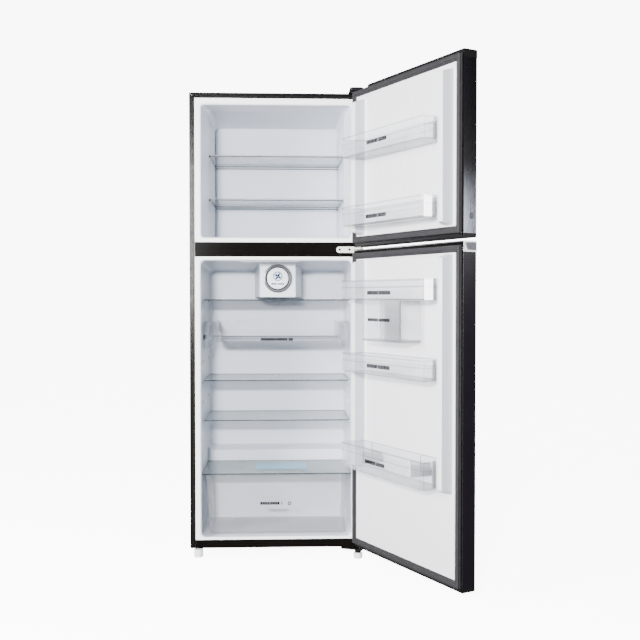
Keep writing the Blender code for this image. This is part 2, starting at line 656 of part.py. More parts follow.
def make_fridge_door(door, bins, box_pivot):
    """Fridge door: bright handle along its top edge, body, three bins and the small hanging box."""
    low, high = FRIDGE_DOOR
    skin = (low + CAP_HEIGHT + GAP, high - HANDLE_HEIGHT - GAP)
    make_door_body("fridge_door", skin, (0.3320, 1.0385), FRIDGE_DOOR, door)
    handle = door_end("fridge_door_handle", high - HANDLE_HEIGHT, high, SILVER, door)
    cut(handle, block("finger_groove", (-0.270, DOOR_FRONT - 0.01, high - 0.026), (0.200, DOOR_FRONT + 0.020, high - 0.006),
                      None, door))
    cut(handle, hinge_pin("fridge_top_hole", 1.0640, 1.10, PIN_CLEARANCE, door))
    bottom = door_end("fridge_door_bottom_cap", low, low + CAP_HEIGHT, BLACK_PLASTIC, door)
    cut(bottom, hinge_pin("fridge_foot_hole", 0.0, low + 0.0100, PIN_CLEARANCE, door))
    make_bin("fridge_bin_upper", 0.9020, 0.9660, bins[0])
    make_bin("fridge_bin_middle", 0.6640, 0.7270, bins[1])
    make_bin("fridge_bin_lower", 0.3450, 0.4300, bins[2])
    left, right = CARE_BOX

    def ring(inset, z):
        edges = (left + inset, right - inset, LINER_FACE + 0.003 + inset, BIN_FRONT - 0.001 - inset)
        return lift(rounded(*edges, 0.008), "z", z)

    top = 0.9020 - 0.0010
    rings = [ring(0.006, 0.7720), ring(0.002, 0.7780), ring(0.0, top), ring(BIN_WALL, top),
             ring(BIN_WALL + 0.002, 0.7780), ring(0.008, 0.7740)]
    loft("care_box", rings, CLEAR, box_pivot)


def build():
    """Put the datum and the pivots in place, then make every piece on them."""
    datum = empty("cabinet_datum", (DATUM_X, 0.0, 0.0))

    def pivot(name, spot, parent, turn_deg=0.0):
        """An empty on a joint's axis. spot is in cabinet coordinates, door shut."""
        home = PIVOTS.get(parent.name, (0.0, 0.0, 0.0))
        PIVOTS[name] = spot
        return empty(name, [a - b for a, b in zip(spot, home)], parent, turn_deg)

    hinge = (HINGE_X, HINGE_Y, 0.0)
    freezer_door = pivot("freezer_door_axis", hinge, datum, DOOR_OPEN_DEG)
    fridge_door = pivot("fridge_door_axis", hinge, datum, DOOR_OPEN_DEG)
    lock = pivot("lock_axis", (-DOOR_HALF_WIDTH, *LOCK_SPOT), freezer_door)
    freezer_bins = [pivot("freezer_bin_%s_slide" % n, (0.0, 0.0, 0.0), freezer_door) for n in ("upper", "lower")]
    fridge_bins = [pivot("fridge_bin_%s_slide" % n, (0.0, 0.0, 0.0), fridge_door)
                   for n in ("upper", "middle", "lower")]
    box = pivot("care_box_slide", (0.0, 0.0, 0.8), fridge_bins[0])
    make_cabinet_shell(datum)
    make_base(datum)
    make_machine(datum)
    make_cooling(datum, pivot("freezer_fan_axis", (0.0, 0.42, 1.450), datum))
    make_air_tower(datum, pivot("fridge_fan_axis", (TOWER_X, 0.19, FAN_Z), datum))
    make_lamp(datum)
    make_shelves(datum)
    make_tray(datum, pivot("tray_slide", (0.0, 0.095, 0.8), datum))
    make_crisper(pivot("crisper_slide", (0.0, 0.042, 0.18), datum))
    make_hinges(datum)
    make_foot("foot_left", LEFT_FOOT, 0.0300, pivot("foot_left_axis", (*LEFT_FOOT, 0.0), datum))
    make_foot("foot_right", RIGHT_FOOT, 0.0205, pivot("foot_right_axis", (*RIGHT_FOOT, 0.0), datum))
    for side, name in ((-1, "left"), (1, "right")):
        axle = pivot("roller_%s_axis" % name, (side * ROLLER_X, ROLLER_Y, ROLLER_RADIUS), datum)
        make_roller(side, name, axle)
    make_freezer_door(freezer_door, lock, freezer_bins)
    make_fridge_door(fridge_door, fridge_bins, box)


for old in list(bpy.data.objects):
    bpy.data.objects.remove(old, do_unlink=True)

PIVOTS = {}
BLACK_STEEL = material("black_steel", (0.012, 0.012, 0.014), 0.22, 0.3)
BLACK_GLASS = material("black_gloss", (0.016, 0.013, 0.020), 0.10)
GREY_STEEL = material("galvanised_steel", (0.50, 0.50, 0.52), 0.40, 0.9)
SILVER = material("bright_trim", (0.80, 0.80, 0.82), 0.18, 1.0)
ALUMINIUM = material("aluminium_fins", (0.75, 0.76, 0.78), 0.35, 1.0)
IVORY = material("ivory_hinge", (0.72, 0.70, 0.63), 0.40)
WHITE = material("white_plastic", (0.80, 0.81, 0.84), 0.35)
CLEAR_WHITE = material("frosted_plastic", (0.80, 0.82, 0.82), 0.45, 0.0, 0.8)
CLEAR = material("clear_plastic", (0.86, 0.90, 0.92), 0.08, 0.0, 0.3)
BLACK_PLASTIC = material("black_plastic", (0.020, 0.020, 0.022), 0.45)
RUBBER = material("grey_gasket", (0.10, 0.10, 0.10), 0.60)
FOAM = material("foam", (0.78, 0.70, 0.42), 0.90)

build()
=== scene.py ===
"""Looks of the top freezer refrigerator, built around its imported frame."""
import json
import math

import bmesh
import bpy
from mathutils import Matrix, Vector


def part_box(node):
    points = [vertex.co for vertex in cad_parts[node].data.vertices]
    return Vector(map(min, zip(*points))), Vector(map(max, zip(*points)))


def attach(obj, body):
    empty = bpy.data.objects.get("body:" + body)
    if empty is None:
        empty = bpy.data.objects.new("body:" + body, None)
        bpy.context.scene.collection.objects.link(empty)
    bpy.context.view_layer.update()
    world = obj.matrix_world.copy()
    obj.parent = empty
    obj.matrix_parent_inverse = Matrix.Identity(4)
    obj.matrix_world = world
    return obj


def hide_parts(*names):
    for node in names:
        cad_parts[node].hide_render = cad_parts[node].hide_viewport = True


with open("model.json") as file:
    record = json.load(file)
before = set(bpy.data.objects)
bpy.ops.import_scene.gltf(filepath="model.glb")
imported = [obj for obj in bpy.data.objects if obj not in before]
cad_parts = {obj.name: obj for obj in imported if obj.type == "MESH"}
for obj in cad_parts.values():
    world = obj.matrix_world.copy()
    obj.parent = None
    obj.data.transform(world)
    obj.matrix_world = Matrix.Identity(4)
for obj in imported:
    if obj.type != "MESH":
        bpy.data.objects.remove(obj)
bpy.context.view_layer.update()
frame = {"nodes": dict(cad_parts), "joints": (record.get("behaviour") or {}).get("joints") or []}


# --- Cabinet wrap --------------------------------------------------------------------------------
# The outside of the cabinet is one sheet of pre-painted steel, bent over the top and down both
# sides. Its front edge is folded in as a flange with mitred corners, stepped back at the liner.
wrap_low, wrap_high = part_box("outer_wrap")
CENTRE_X = (wrap_low.x + wrap_high.x) / 2
FRONT_Y = wrap_low.y
HALF_WIDTH = (wrap_high.x - wrap_low.x) / 2
DEPTH = wrap_high.y - wrap_low.y
CABINET_LOW, CABINET_HIGH = wrap_low.z, wrap_high.z


class Value:
    """A shader socket that takes part in Python arithmetic."""

    def __init__(self, tree, socket):
        self.tree, self.socket = tree, socket

    def maths(self, operation, *terms):
        node = self.tree.nodes.new("ShaderNodeMath")
        node.operation = operation
        for place, term in zip(node.inputs, terms):
            if isinstance(term, Value):
                self.tree.links.new(term.socket, place)
            else:
                place.default_value = term
        return Value(self.tree, node.outputs[0])

    def __add__(self, other):
        return self.maths("ADD", self, other)

    __radd__ = __add__

    def __sub__(self, other):
        return self.maths("SUBTRACT", self, other)

    def __rsub__(self, other):
        return self.maths("SUBTRACT", other, self)

    def __mul__(self, other):
        return self.maths("MULTIPLY", self, other)

    __rmul__ = __mul__

    def __pow__(self, other):
        return self.maths("POWER", self, other)


class Finish:
    """One Principled material. Sockets take numbers, colours, or values made by other nodes."""

    def __init__(self, name, **settings):
        self.material = bpy.data.materials.new(name)
        self.material.use_nodes = True
        self.tree = self.material.node_tree
        self.surface = self.tree.nodes["Principled BSDF"]
        self.feed(self.surface, {key.replace("_", " "): value for key, value in settings.items()})
        self.material.diffuse_color = self.surface.inputs["Base Color"].default_value

    def feed(self, node, inputs):
        for key, value in inputs.items():
            place = node.inputs[key]
            if isinstance(value, Value):
                self.tree.links.new(value.socket, place)
            elif isinstance(value, tuple) and len(value) == 3 and place.type == "RGBA":
                place.default_value = (*value, 1.0)
            else:
                place.default_value = value

    def node(self, kind, settings=None, inputs=None, output=0):
        made = self.tree.nodes.new("ShaderNode" + kind)
        for key, value in (settings or {}).items():
            setattr(made, key, value)
        self.feed(made, inputs or {})
        return Value(self.tree, made.outputs[output])

    def noise(self, scale, detail=2.0, stretch=(1.0, 1.0, 1.0)):
        where = self.node("TexCoord", output="Object")
        spread = self.node("Mapping", inputs={"Vector": where, "Scale": stretch})
        return self.node("TexNoise", inputs={"Vector": spread, "Scale": scale, "Detail": detail})

    def mix(self, share, first, second):
        settings = {"data_type": "RGBA"}
        return self.node("Mix", settings, {0: share, 6: first, 7: second}, output=2)

    def spread(self, value, low, high):
        """Stretch the middle of a 0 to 1 value between two limits."""
        return self.node("MapRange", inputs={"Value": value, "From Min": 0.3, "From Max": 0.7,
                                             "To Min": low, "To Max": high})

    def bump(self, height, distance, strength=1.0):
        bumped = self.node("Bump", inputs={"Height": height, "Distance": distance, "Strength": strength})
        self.feed(self.surface, {"Normal": bumped})


def painted(name, colour, roughness, variation, orange_peel=0.00002, specular=0.5, coat=0.0):
    """Smooth paint or moulded plastic: faint orange peel, faint clouding of colour and gloss."""
    made = Finish(name, Base_Color=colour, Specular_IOR_Level=specular, Coat_Weight=coat)
    cloud = made.noise(6.0, 3.0)
    darker = tuple(c * (1.0 - variation) for c in colour)
    made.feed(made.surface, {"Base Color": made.mix(made.spread(cloud, 0.0, 1.0), colour, darker),
                             "Roughness": made.spread(made.noise(40.0), roughness * 0.9, roughness * 1.1)})
    if orange_peel:
        made.bump(made.noise(420.0, 1.0), orange_peel)
    return made


def in_cabinet(x, y, z):
    """A place given from the middle of the cabinet's front face, at floor level."""
    return Vector((CENTRE_X + x, FRONT_Y + y, z))


def solid(name, rings, spot=in_cabinet, looped=False, sharp=30):
    """Join equal rings of (x, y, z) one after another into a closed body."""
    count = len(rings[0])
    mesh = bpy.data.meshes.new(name)
    work = bmesh.new()
    corners = [[work.verts.new(spot(*p)) for p in ring] for ring in rings]
    pairs = list(zip(corners, corners[1:]))
    if looped:
        pairs.append((corners[-1], corners[0]))
    else:
        work.faces.new(corners[0])
        work.faces.new(corners[-1])
    for first, second in pairs:
        for i in range(count):
            j = (i + 1) % count
            work.faces.new((first[i], first[j], second[j], second[i]))
    bmesh.ops.recalc_face_normals(work, faces=work.faces)
    work.to_mesh(mesh)
    work.free()
    mesh.shade_smooth()
    mesh.set_sharp_from_angle(angle=math.radians(sharp))
    piece = bpy.data.objects.new(name, mesh)
    bpy.context.scene.collection.objects.link(piece)
    return piece


def fit(piece, body, slot, look, *replaced):
    """Give a piece its finish, the body that it moves with, and the frame nodes that it stands for."""
    piece.data.materials.clear()
    piece.data.materials.append(look.material)
    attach(piece, body)
    if replaced:
        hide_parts(*replaced)
    return piece


def dress(look, *nodes):
    """Put a finish on frame nodes that keep their own shape."""
    for name in nodes:
        node = frame["nodes"][name]
        node.data.materials.clear()
        node.data.materials.append(look.material)


def soften(piece, width, segments=2):
    """Round the edges of a piece."""
    bevel = piece.modifiers.new("edges", "BEVEL")
    bevel.width = width
    bevel.segments = segments
    bevel.limit_method = "ANGLE"
    bevel.angle_limit = math.radians(40)
    bevel.harden_normals = True
    return piece


def arc(u, v, radius, start, end, steps):
    """Points round part of a circle, in degrees."""
    turns = [math.radians(start + (end - start) * i / steps) for i in range(steps + 1)]
    return [(u + radius * math.cos(a), v + radius * math.sin(a)) for a in turns]


black_enamel = painted("black_enamel", (0.0035, 0.0034, 0.0034), 0.22, 0.3, 0.000003, 0.5)
FLANGE_DEPTH = 0.018
BEND_ROUND = 0.0022
STEP_AT = 0.0125
STEP_BACK = 0.0011


def wrap_section():
    """The folded front edge: (distance in from the outer face, distance back from the front)."""
    bend = arc(BEND_ROUND, BEND_ROUND, BEND_ROUND, 180, 270, 6)
    flat = [(0.0030, 0.0), (STEP_AT - 0.0005, 0.0), (STEP_AT, 0.0)]
    step = [(STEP_AT + 0.0009, STEP_BACK), (FLANGE_DEPTH, STEP_BACK)]
    inside = [(FLANGE_DEPTH, 0.0019), (0.0012, 0.0024), (0.0009, 0.0050), (0.0009, DEPTH)]
    return [(0.0, DEPTH)] + bend + flat + step + inside


def wrap_ring(corner):
    """The section carried to one station of the path up one side, over the top and down."""
    ring = []
    for inward, back in wrap_section():
        side = -1 if corner in (0, 1) else 1
        x = side * (HALF_WIDTH - inward)
        z = CABINET_LOW if corner in (0, 3) else CABINET_HIGH - inward
        ring.append((x, back, z))
    return ring


wrap = solid("cabinet_wrap", [wrap_ring(corner) for corner in range(4)])
fit(wrap, "cabinet", "black_steel", black_enamel, "outer_wrap")

bare_edge = painted("mitre_edge_metal", (0.30, 0.30, 0.31), 0.35, 0.2)
for index, side in enumerate((-1, 1)):
    outer, inner, half = 0.0015, 0.0120, 0.0004
    corners = []
    for away, across in ((outer, half), (outer, -half), (inner, -half), (inner, half)):
        corners.append((side * (HALF_WIDTH - away - across), CABINET_HIGH - away + across))
    mitre = solid("mitre_joint_%d" % (index + 1),
                  [[(x, y, z) for x, z in corners] for y in (-0.00015, 0.0006)])
    fit(mitre, "cabinet", "black_steel", bare_edge)


# --- Back, base and machine compartment ----------------------------------------------------------
# Galvanised sheet closes the back and the base. The compressor, the condenser tube and the drain
# pan stand open at the bottom of the back, as they do on a cabinet with no rear grille.
def galvanised():
    """Zinc with its large faint crystals."""
    made = Finish("galvanised_sheet", Base_Color=(0.50, 0.51, 0.53), Metallic=0.85)
    where = made.node("TexCoord", output="Object")
    spangle = made.node("TexVoronoi", inputs={"Vector": where, "Scale": 90.0}, output="Color")
    shade = made.node("SeparateColor", inputs={"Color": spangle})
    made.feed(made.surface, {
        "Base Color": made.mix(shade, (0.44, 0.45, 0.47), (0.56, 0.57, 0.59)),
        "Roughness": made.spread(shade, 0.34, 0.50)})
    made.bump(made.noise(60.0, 2.0), 0.00006)
    return made


zinc = galvanised()
dress(zinc, "base_pan", "rear_panel")
black_wrinkle = painted("black_semi_gloss_coat", (0.0050, 0.0050, 0.0052), 0.42, 0.3, 0.00012, 0.3)
dress(black_wrinkle, "compressor", "condenser_coil", "bottom_hinge", "top_hinge")
moulded_black = painted("black_moulding", (0.0050, 0.0048, 0.0050), 0.48, 0.25, 0.00010, 0.3)
dress(moulded_black, "drain_pan", "freezer_fan_motor", "fridge_fan_motor", "roller_left", "roller_right",
      "top_hinge_cover")


def foam_finish():
    made = Finish("expanded_foam", Base_Color=(0.80, 0.70, 0.42), Roughness=0.95)
    cells = made.noise(260.0, 4.0)
    made.feed(made.surface, {"Base Color": made.mix(made.spread(cells, 0.0, 1.0), (0.82, 0.72, 0.44),
                                                    (0.66, 0.56, 0.32))})
    made.bump(cells, 0.0006)
    return made


foam = foam_finish()
dress(foam, "insulation", "freezer_door_core", "fridge_door_core")


def finned():
    made = Finish("evaporator_fins", Base_Color=(0.78, 0.79, 0.81), Metallic=1.0)
    grain = made.noise(900.0, 1.0, (1.0, 1.0, 0.05))
    made.feed(made.surface, {"Roughness": made.spread(grain, 0.25, 0.45)})
    made.bump(grain, 0.00005)
    return made


dress(finned(), "evaporator")


# --- Rails of the front face ---------------------------------------------------------------------
# Two gloss black steel rails cross the front, one between the compartments and one under the
# fridge. A thin white seal shows at the left end of the upper one.
gloss_rail = painted("gloss_black_rail", (0.0040, 0.0034, 0.0030), 0.16, 0.4, 0.000005, 0.04)
dress(gloss_rail, "centre_rail", "bottom_rail")
rail_low, rail_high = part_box("centre_rail")


def bar(name, low, high, spot=in_cabinet):
    """A straight bar between two corners."""
    outline = [(low[0], low[1]), (high[0], low[1]), (high[0], high[1]), (low[0], high[1])]
    return solid(name, [[(x, y, z) for x, y in outline] for z in (low[2], high[2])], spot)


white_plastic = painted("white_abs", (0.66, 0.69, 0.74), 0.30, 0.02, 0.00003, 0.5)
seal = bar("rail_end_seal", (-0.2818, -0.0008, rail_low.z), (-0.2803, 0.0006, rail_high.z))
fit(soften(seal, 0.0003), "cabinet", "white_plastic", white_plastic)


# --- Liners --------------------------------------------------------------------------------------
# Each compartment is a tub drawn from one white sheet, with a flat lip round its mouth. The walls
# narrow towards the back so that it leaves its mould, and the corners are generous.
def outline_of(u0, u1, v0, v1, radius, steps=8):
    """A rectangle with round corners."""
    return (arc(u1 - radius, v0 + radius, radius, -90, 0, steps)
            + arc(u1 - radius, v1 - radius, radius, 0, 90, steps)
            + arc(u0 + radius, v1 - radius, radius, 90, 180, steps)
            + arc(u0 + radius, v0 + radius, radius, 180, 270, steps))


MOUTH_ROUND = 0.0035
LINER_SHEET = 0.0018


def tub(name, lip, mouth, walls):
    """A drawn tub. mouth is (half, low, high, radius); walls are the deeper sections."""
    lip_half, lip_low, lip_high = lip
    half, low, high, radius = mouth
    rings = []

    def ring(y, half, low, high, radius):
        rings.append([(x, y, z) for x, z in outline_of(-half, half, low, high, radius)])

    for y, half_now, low_now, high_now, radius_now in walls[::-1]:
        ring(y, half_now, low_now, high_now, radius_now)
    for step in range(6):
        angle = math.radians(90 * step / 5)
        out = MOUTH_ROUND * (1 - math.sin(angle))
        ring(MOUTH_ROUND * math.cos(angle), half - out, low + out, high - out, radius)
    ring(0.0, lip_half - 0.0008, lip_low + 0.0008, lip_high - 0.0008, 0.003)
    ring(0.0008, lip_half, lip_low, lip_high, 0.0035)
    ring(0.0019, lip_half, lip_low, lip_high, 0.0035)
    thick = LINER_SHEET
    ring(0.0019, half + thick + 0.001, low - thick - 0.001, high + thick + 0.001, radius + thick)
    for y, half_now, low_now, high_now, radius_now in walls:
        ring(y + thick, half_now + thick, low_now - thick, high_now + thick, radius_now + thick)
    piece = solid(name, rings, sharp=28)
    crease = FRONT_Y + walls[0][0]
    for edge in piece.data.edges:
        if all(abs(piece.data.vertices[v].co.y - crease) < 0.0001 for v in edge.vertices):
            edge.use_edge_sharp = True
    return piece


# The liner white is darkened and blued to stand for the shade inside the compartments: painted shade. The lip keeps
# a bright white. The rear cover and the air tower use the same shaded white.
shaded_liner_white = painted("liner_white", (0.62, 0.65, 0.71), 0.34, 0.02, 0.0, 0.35)
lip_white = painted("liner_lip_white", (0.93, 0.93, 0.94), 0.30, 0.012, 0.0, 0.5)


def pale_lip(piece):
    """The lip takes the bright white; the walls behind it keep the darker, bluer liner white of painted shade."""
    piece.data.materials.append(lip_white.material)
    for face in piece.data.polygons:
        face.material_index = 1 if face.center.y < FRONT_Y + 0.0030 else 0


# Each wall section is (depth, half width, low, high, corner radius).
FREEZER_WALLS = (
    (0.0880, 0.2405, 1.1215, 1.5690, 0.014),
    (0.4530, 0.2385, 1.1235, 1.5670, 0.020), (0.4600, 0.2370, 1.1255, 1.5655, 0.020),
    (0.4690, 0.2290, 1.1330, 1.5575, 0.020))
freezer_liner = tub("freezer_tub", (0.2812, 1.1020, 1.5973), (0.2630, 1.1140, 1.5787, 0.012), FREEZER_WALLS)
pale_lip(fit(freezer_liner, "cabinet", "white_plastic", shaded_liner_white, "freezer_liner"))
FRIDGE_WALLS = (
    (0.0120, 0.2648, 0.0728, 1.0417, 0.017), (0.3020, 0.2630, 0.0745, 1.0216, 0.020),
    (0.3080, 0.2630, 0.3300, 1.0212, 0.020), (0.3160, 0.2629, 0.3340, 1.0207, 0.020),
    (0.3720, 0.2610, 0.3380, 1.0165, 0.022), (0.3790, 0.2585, 0.3395, 1.0140, 0.022),
    (0.3845, 0.2520, 0.3420, 1.0075, 0.022))
fridge_liner = tub("fridge_tub", (0.2812, 0.0662, 1.0518), (0.2650, 0.0725, 1.0426, 0.017), FRIDGE_WALLS)
pale_lip(fit(fridge_liner, "cabinet", "white_plastic", shaded_liner_white, "fridge_liner"))


# --- Freezer rear cover --------------------------------------------------------------------------
# A moulded white panel hides the evaporator. Its top leans back and its edges are rolled.
def rear_cover():
    half, front = 0.2290, 0.3865
    profile = [(1.1240, 0.4000), (1.1240, front + 0.0070), (1.1300, front + 0.0010), (1.1340, front),
               (1.5310, front), (1.5330, front + 0.0007), (1.5590, front + 0.0105), (1.5600, front + 0.0125),
               (1.5665, front + 0.0128), (1.5665, 0.4000)]
    rings = []
    for x, sink in ((-0.2386, 0.0090), (-0.2375, 0.0080), (-half - 0.0010, 0.0010), (-half + 0.0020, 0.0),
                    (half - 0.0020, 0.0), (half + 0.0010, 0.0010), (0.2375, 0.0080), (0.2386, 0.0090)):
        rings.append([(x, min(y + sink, 0.4000 + sink * 0.01), z) for z, y in profile])
    return solid("freezer_rear_panel", rings)


rear_panel = fit(rear_cover(), "cabinet", "white_plastic", shaded_liner_white, "freezer_rear_cover")
# The leaning top band takes the paler white plastic: a painted highlight where the light catches the bevel.
rear_panel.data.materials.append(white_plastic.material)
for face in rear_panel.data.polygons:
    face.material_index = 1 if 1.534 < face.center.z < 1.5595 else 0
dress(white_plastic, "freezer_fan", "fridge_fan")


# --- Freezer shelves -----------------------------------------------------------------------------
# Clear moulded trays with a turned-down lip in front and behind, which rest on ledges of the walls.
# The front lip has a smoked edge, and a small dark stop holds its left end.
def see_through(name, colour, facing, edge, roughness, power=2.0, rim=(0.16, 0.17, 0.19)):
    """Clear plastic or glass: nearly invisible face on, denser and darker where seen along the wall."""
    made = Finish(name, Base_Color=colour, Roughness=roughness, IOR=1.49, Specular_IOR_Level=0.6)
    slant = made.node("LayerWeight", inputs={"Blend": 0.5}, output="Facing")
    flow = made.spread(made.noise(9.0, 2.0, (1.0, 1.0, 3.0)), -0.015, 0.015)
    made.feed(made.surface, {"Base Color": made.mix(slant ** (power * 1.5), colour, rim),
                             "Alpha": facing + (slant ** power) * (edge - facing) + flow,
                             "Roughness": made.spread(made.noise(30.0), roughness * 0.7, roughness * 1.3)})
    made.bump(made.noise(14.0, 1.0), 0.00012)
    return made


clear_shelf = see_through("clear_shelf_plastic", (0.62, 0.68, 0.72), 0.16, 0.60, 0.10)
smoked_edge = see_through("smoked_lip_plastic", (0.030, 0.035, 0.045), 0.70, 0.85, 0.15, 2.0,
                          (0.02, 0.02, 0.03))


def lipped_plate(name, half, front, back, low, high):
    """A plate with a lip that turns down at its front and at its back."""
    sheet, wall = 0.0026, 0.0022
    profile = [(front, low), (front, high - 0.002), (front + 0.002, high), (back - 0.001, high),
               (back, high - 0.001), (back, low - 0.0045), (back - wall, low - 0.0045), (back - wall, high - sheet),
               (front + wall + 0.001, high - sheet), (front + wall, high - sheet - 0.001), (front + wall, low)]
    return solid(name, [[(x, y, z) for y, z in profile] for x in (-half, half)])


FREEZER_SHELVES = (("upper", 1.4100), ("lower", 1.2555))
for name, low in FREEZER_SHELVES:
    half, front, back, high = 0.2370, 0.0930, 0.3780, low + 0.0080
    plate = lipped_plate("freezer_shelf_plate_" + name, half, front, back, low + 0.0005, high)
    fit(soften(plate, 0.0004, 1), "cabinet", "clear_plastic", clear_shelf, "freezer_shelf_" + name)
    edges = (("front", (-half, front - 0.0009, low - 0.0004), (half, front - 0.0001, low + 0.0030)),
             ("rear", (-half, back - 0.0030, low - 0.0045), (half, back - 0.0024, low - 0.0022)),
             ("crease", (-half, back - 0.0036, high - 0.0040), (half, back - 0.0024, high - 0.0020)),
             ("left", (-half - 0.0006, front + 0.004, low + 0.0020), (-half + 0.0010, back, low + 0.0045)),
             ("right", (half - 0.0010, front + 0.004, low + 0.0020), (half + 0.0006, back, low + 0.0045)))
    for place, start, end in edges:
        edge = bar("freezer_shelf_%s_edge_%s" % (name, place), start, end)
        fit(soften(edge, 0.0002, 1), "cabinet", "clear_plastic", smoked_edge)
    stop = bar("freezer_shelf_stop_" + name, (-0.2395, 0.0925, low - 0.002), (-0.2345, 0.1000, low + 0.005))
    fit(soften(stop, 0.0008), "cabinet", "black_plastic", moulded_black)


# --- Fridge shelves ------------------------------------------------------------------------------
# Toughened glass with ground edges that look dark green, over the crisper too. Moulded pegs on the
# side walls carry them.
glass_face = see_through("shelf_glass", (0.42, 0.50, 0.52), 0.13, 0.62, 0.05, 2.5, (0.30, 0.36, 0.37))
glass_edge = see_through("ground_glass_edge", (0.018, 0.028, 0.030), 0.86, 0.92, 0.25, 2.0,
                         (0.012, 0.02, 0.02))
cover_glass = see_through("crisper_glass", (0.30, 0.36, 0.36), 0.36, 0.62, 0.06, 2.5, (0.28, 0.35, 0.35))


def glass_plate(name, half, front, back, low, high, look, node_name):
    plate = bar(name, (-half, front, low), (half, back, high))
    fit(plate, "cabinet", "glass_shelf", look, node_name)
    plate.data.materials.append(glass_edge.material)
    for face in plate.data.polygons:
        face.material_index = 0 if abs(face.normal.z) > 0.5 else 1
    return soften(plate, 0.0007, 2)


FRIDGE_SHELVES = (("top", 0.9040), ("middle", 0.6160), ("lower", 0.4730))
for name, top in FRIDGE_SHELVES:
    glass_plate("glass_shelf_" + name, 0.2585, 0.0922, 0.3715, top - 0.0043, top, glass_face,
                "fridge_shelf_" + name)
glass_plate("glass_over_crisper", 0.2612, 0.0322, 0.2975, 0.2878, 0.2919, cover_glass, "crisper_cover")

PEG_HEIGHTS = [top - 0.0046 for name, top in FRIDGE_SHELVES] + [0.2873, 0.6850, 0.5400]
for index, top in enumerate(PEG_HEIGHTS):
    for side in (-1, 1):
        for row, y in (("front", 0.118), ("rear", 0.330)):
            if top < 0.3 and row == "rear":
                y = 0.270
            wall = 0.2646 - 0.0061 * y
            profile = [(0.0, -0.009), (0.0045, -0.007), (0.0068, -0.0035), (0.0068, 0.0), (0.0, 0.0)]
            rings = []
            for along, shrink in ((-0.008, 0.6), (-0.005, 1.0), (0.005, 1.0), (0.008, 0.6)):
                rings.append([(side * (wall - out * shrink), y + along, top + up * shrink - 0.0001)
                              for out, up in profile])
            peg = solid("shelf_peg_%d_%s_%s" % (index, row, "left" if side < 0 else "right"), rings)
            fit(soften(peg, 0.0006), "cabinet", "white_plastic", white_plastic)

chill_strip = see_through("pale_blue_insert", (0.14, 0.48, 0.72), 0.55, 0.65, 0.10, 2.0, (0.14, 0.48, 0.70))
insert = solid("crisper_glass_insert", [[(x, y, z) for x, y in outline_of(-0.076, 0.108, 0.110, 0.232, 0.008)]
                                        for z in (0.29205, 0.29235)])
fit(insert, "cabinet", "glass_shelf", chill_strip)


# --- Air tower -----------------------------------------------------------------------------------
# A white moulded box hangs from the ceiling and blows cold air past a round cover. A grey ring
# with a bright flare frames the cover, and a plain fan sign is printed on it.
tower_low, tower_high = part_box("air_tower")
TOWER_X = (tower_low.x + tower_high.x) / 2 - CENTRE_X
TOWER_FRONT = tower_low.y - FRONT_Y
disc_low, disc_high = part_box("fan_cover")
FAN_Z = (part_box("fan_ring")[0].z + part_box("fan_ring")[1].z) / 2
dress(shaded_liner_white, "air_tower")


def bright_metal(name, colour, roughness):
    """Plated trim with fine polishing lines and faint haze."""
    made = Finish(name, Base_Color=colour, Metallic=1.0)
    lines = made.noise(300.0, 2.0, (1.0, 1.0, 0.15))
    made.feed(made.surface, {"Roughness": made.spread(lines, roughness * 0.8, roughness * 1.3)})
    made.bump(lines, 0.000015)
    return made


ring_grey = painted("tower_ring_grey", (0.105, 0.105, 0.112), 0.30, 0.10, 0.00002, 0.5)


def turned(name, centre, profile, spot=in_cabinet, axis="y", sides=48, looped=False):
    """A turned piece: each (radius, height) is a ring round the axis."""
    rings = []
    for radius, height in profile:
        circle = arc(centre[0], centre[1], radius, 0, 360, sides)[:-1]
        if axis == "y":
            rings.append([(u, height, v) for u, v in circle])
        elif axis == "z":
            rings.append([(u, v, height) for u, v in circle])
        else:
            rings.append([(height, u, v) for u, v in circle])
    return solid(name, rings, spot, looped)


RING_OUTER = (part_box("fan_ring")[1].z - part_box("fan_ring")[0].z) / 2 - 0.0001
BEAD = 0.0029
RING_INNER = RING_OUTER - 2 * BEAD
bead = [math.pi * i / 10 for i in range(11)]
ring_profile = [(RING_INNER, TOWER_FRONT - 0.0004)]
ring_profile += [(RING_INNER + BEAD - BEAD * math.cos(a), TOWER_FRONT - 0.0046 - BEAD * math.sin(a)) for a in bead]
ring_profile += [(RING_OUTER, TOWER_FRONT - 0.0004)]
fan_ring = turned("tower_ring", (TOWER_X, FAN_Z), ring_profile, looped=True)
fit(fan_ring, "cabinet", "bright_trim", ring_grey, "fan_ring")

cover_front = disc_low.y - FRONT_Y
disc = min((disc_high.x - disc_low.x) / 2, RING_INNER - 0.0036)
cover_profile = [(disc - 0.0030, cover_front + 0.0100), (disc - 0.0004, cover_front + 0.0092),
                 (disc, cover_front + 0.0040), (disc - 0.0006, cover_front + 0.0015),
                 (disc - 0.0022, cover_front + 0.0003), (disc - 0.0047, cover_front), (disc - 0.0190, cover_front)]
cover = turned("tower_fan_cover", (TOWER_X, FAN_Z), cover_profile)
fit(cover, "cabinet", "white_plastic", white_plastic, "fan_cover")

flare_look = bright_metal("tower_flare_metal", (0.34, 0.34, 0.35), 0.30)
flare = turned("tower_ring_flare", (TOWER_X, FAN_Z), [
    (RING_OUTER - 0.0006, TOWER_FRONT - 0.0003), (RING_OUTER - 0.0006, TOWER_FRONT - 0.0030),
    (RING_OUTER + 0.0012, TOWER_FRONT - 0.0026), (RING_OUTER + 0.0034, TOWER_FRONT - 0.0008),
    (RING_OUTER + 0.0036, TOWER_FRONT - 0.0002)], looped=True)
fit(flare, "cabinet", "bright_trim", flare_look)
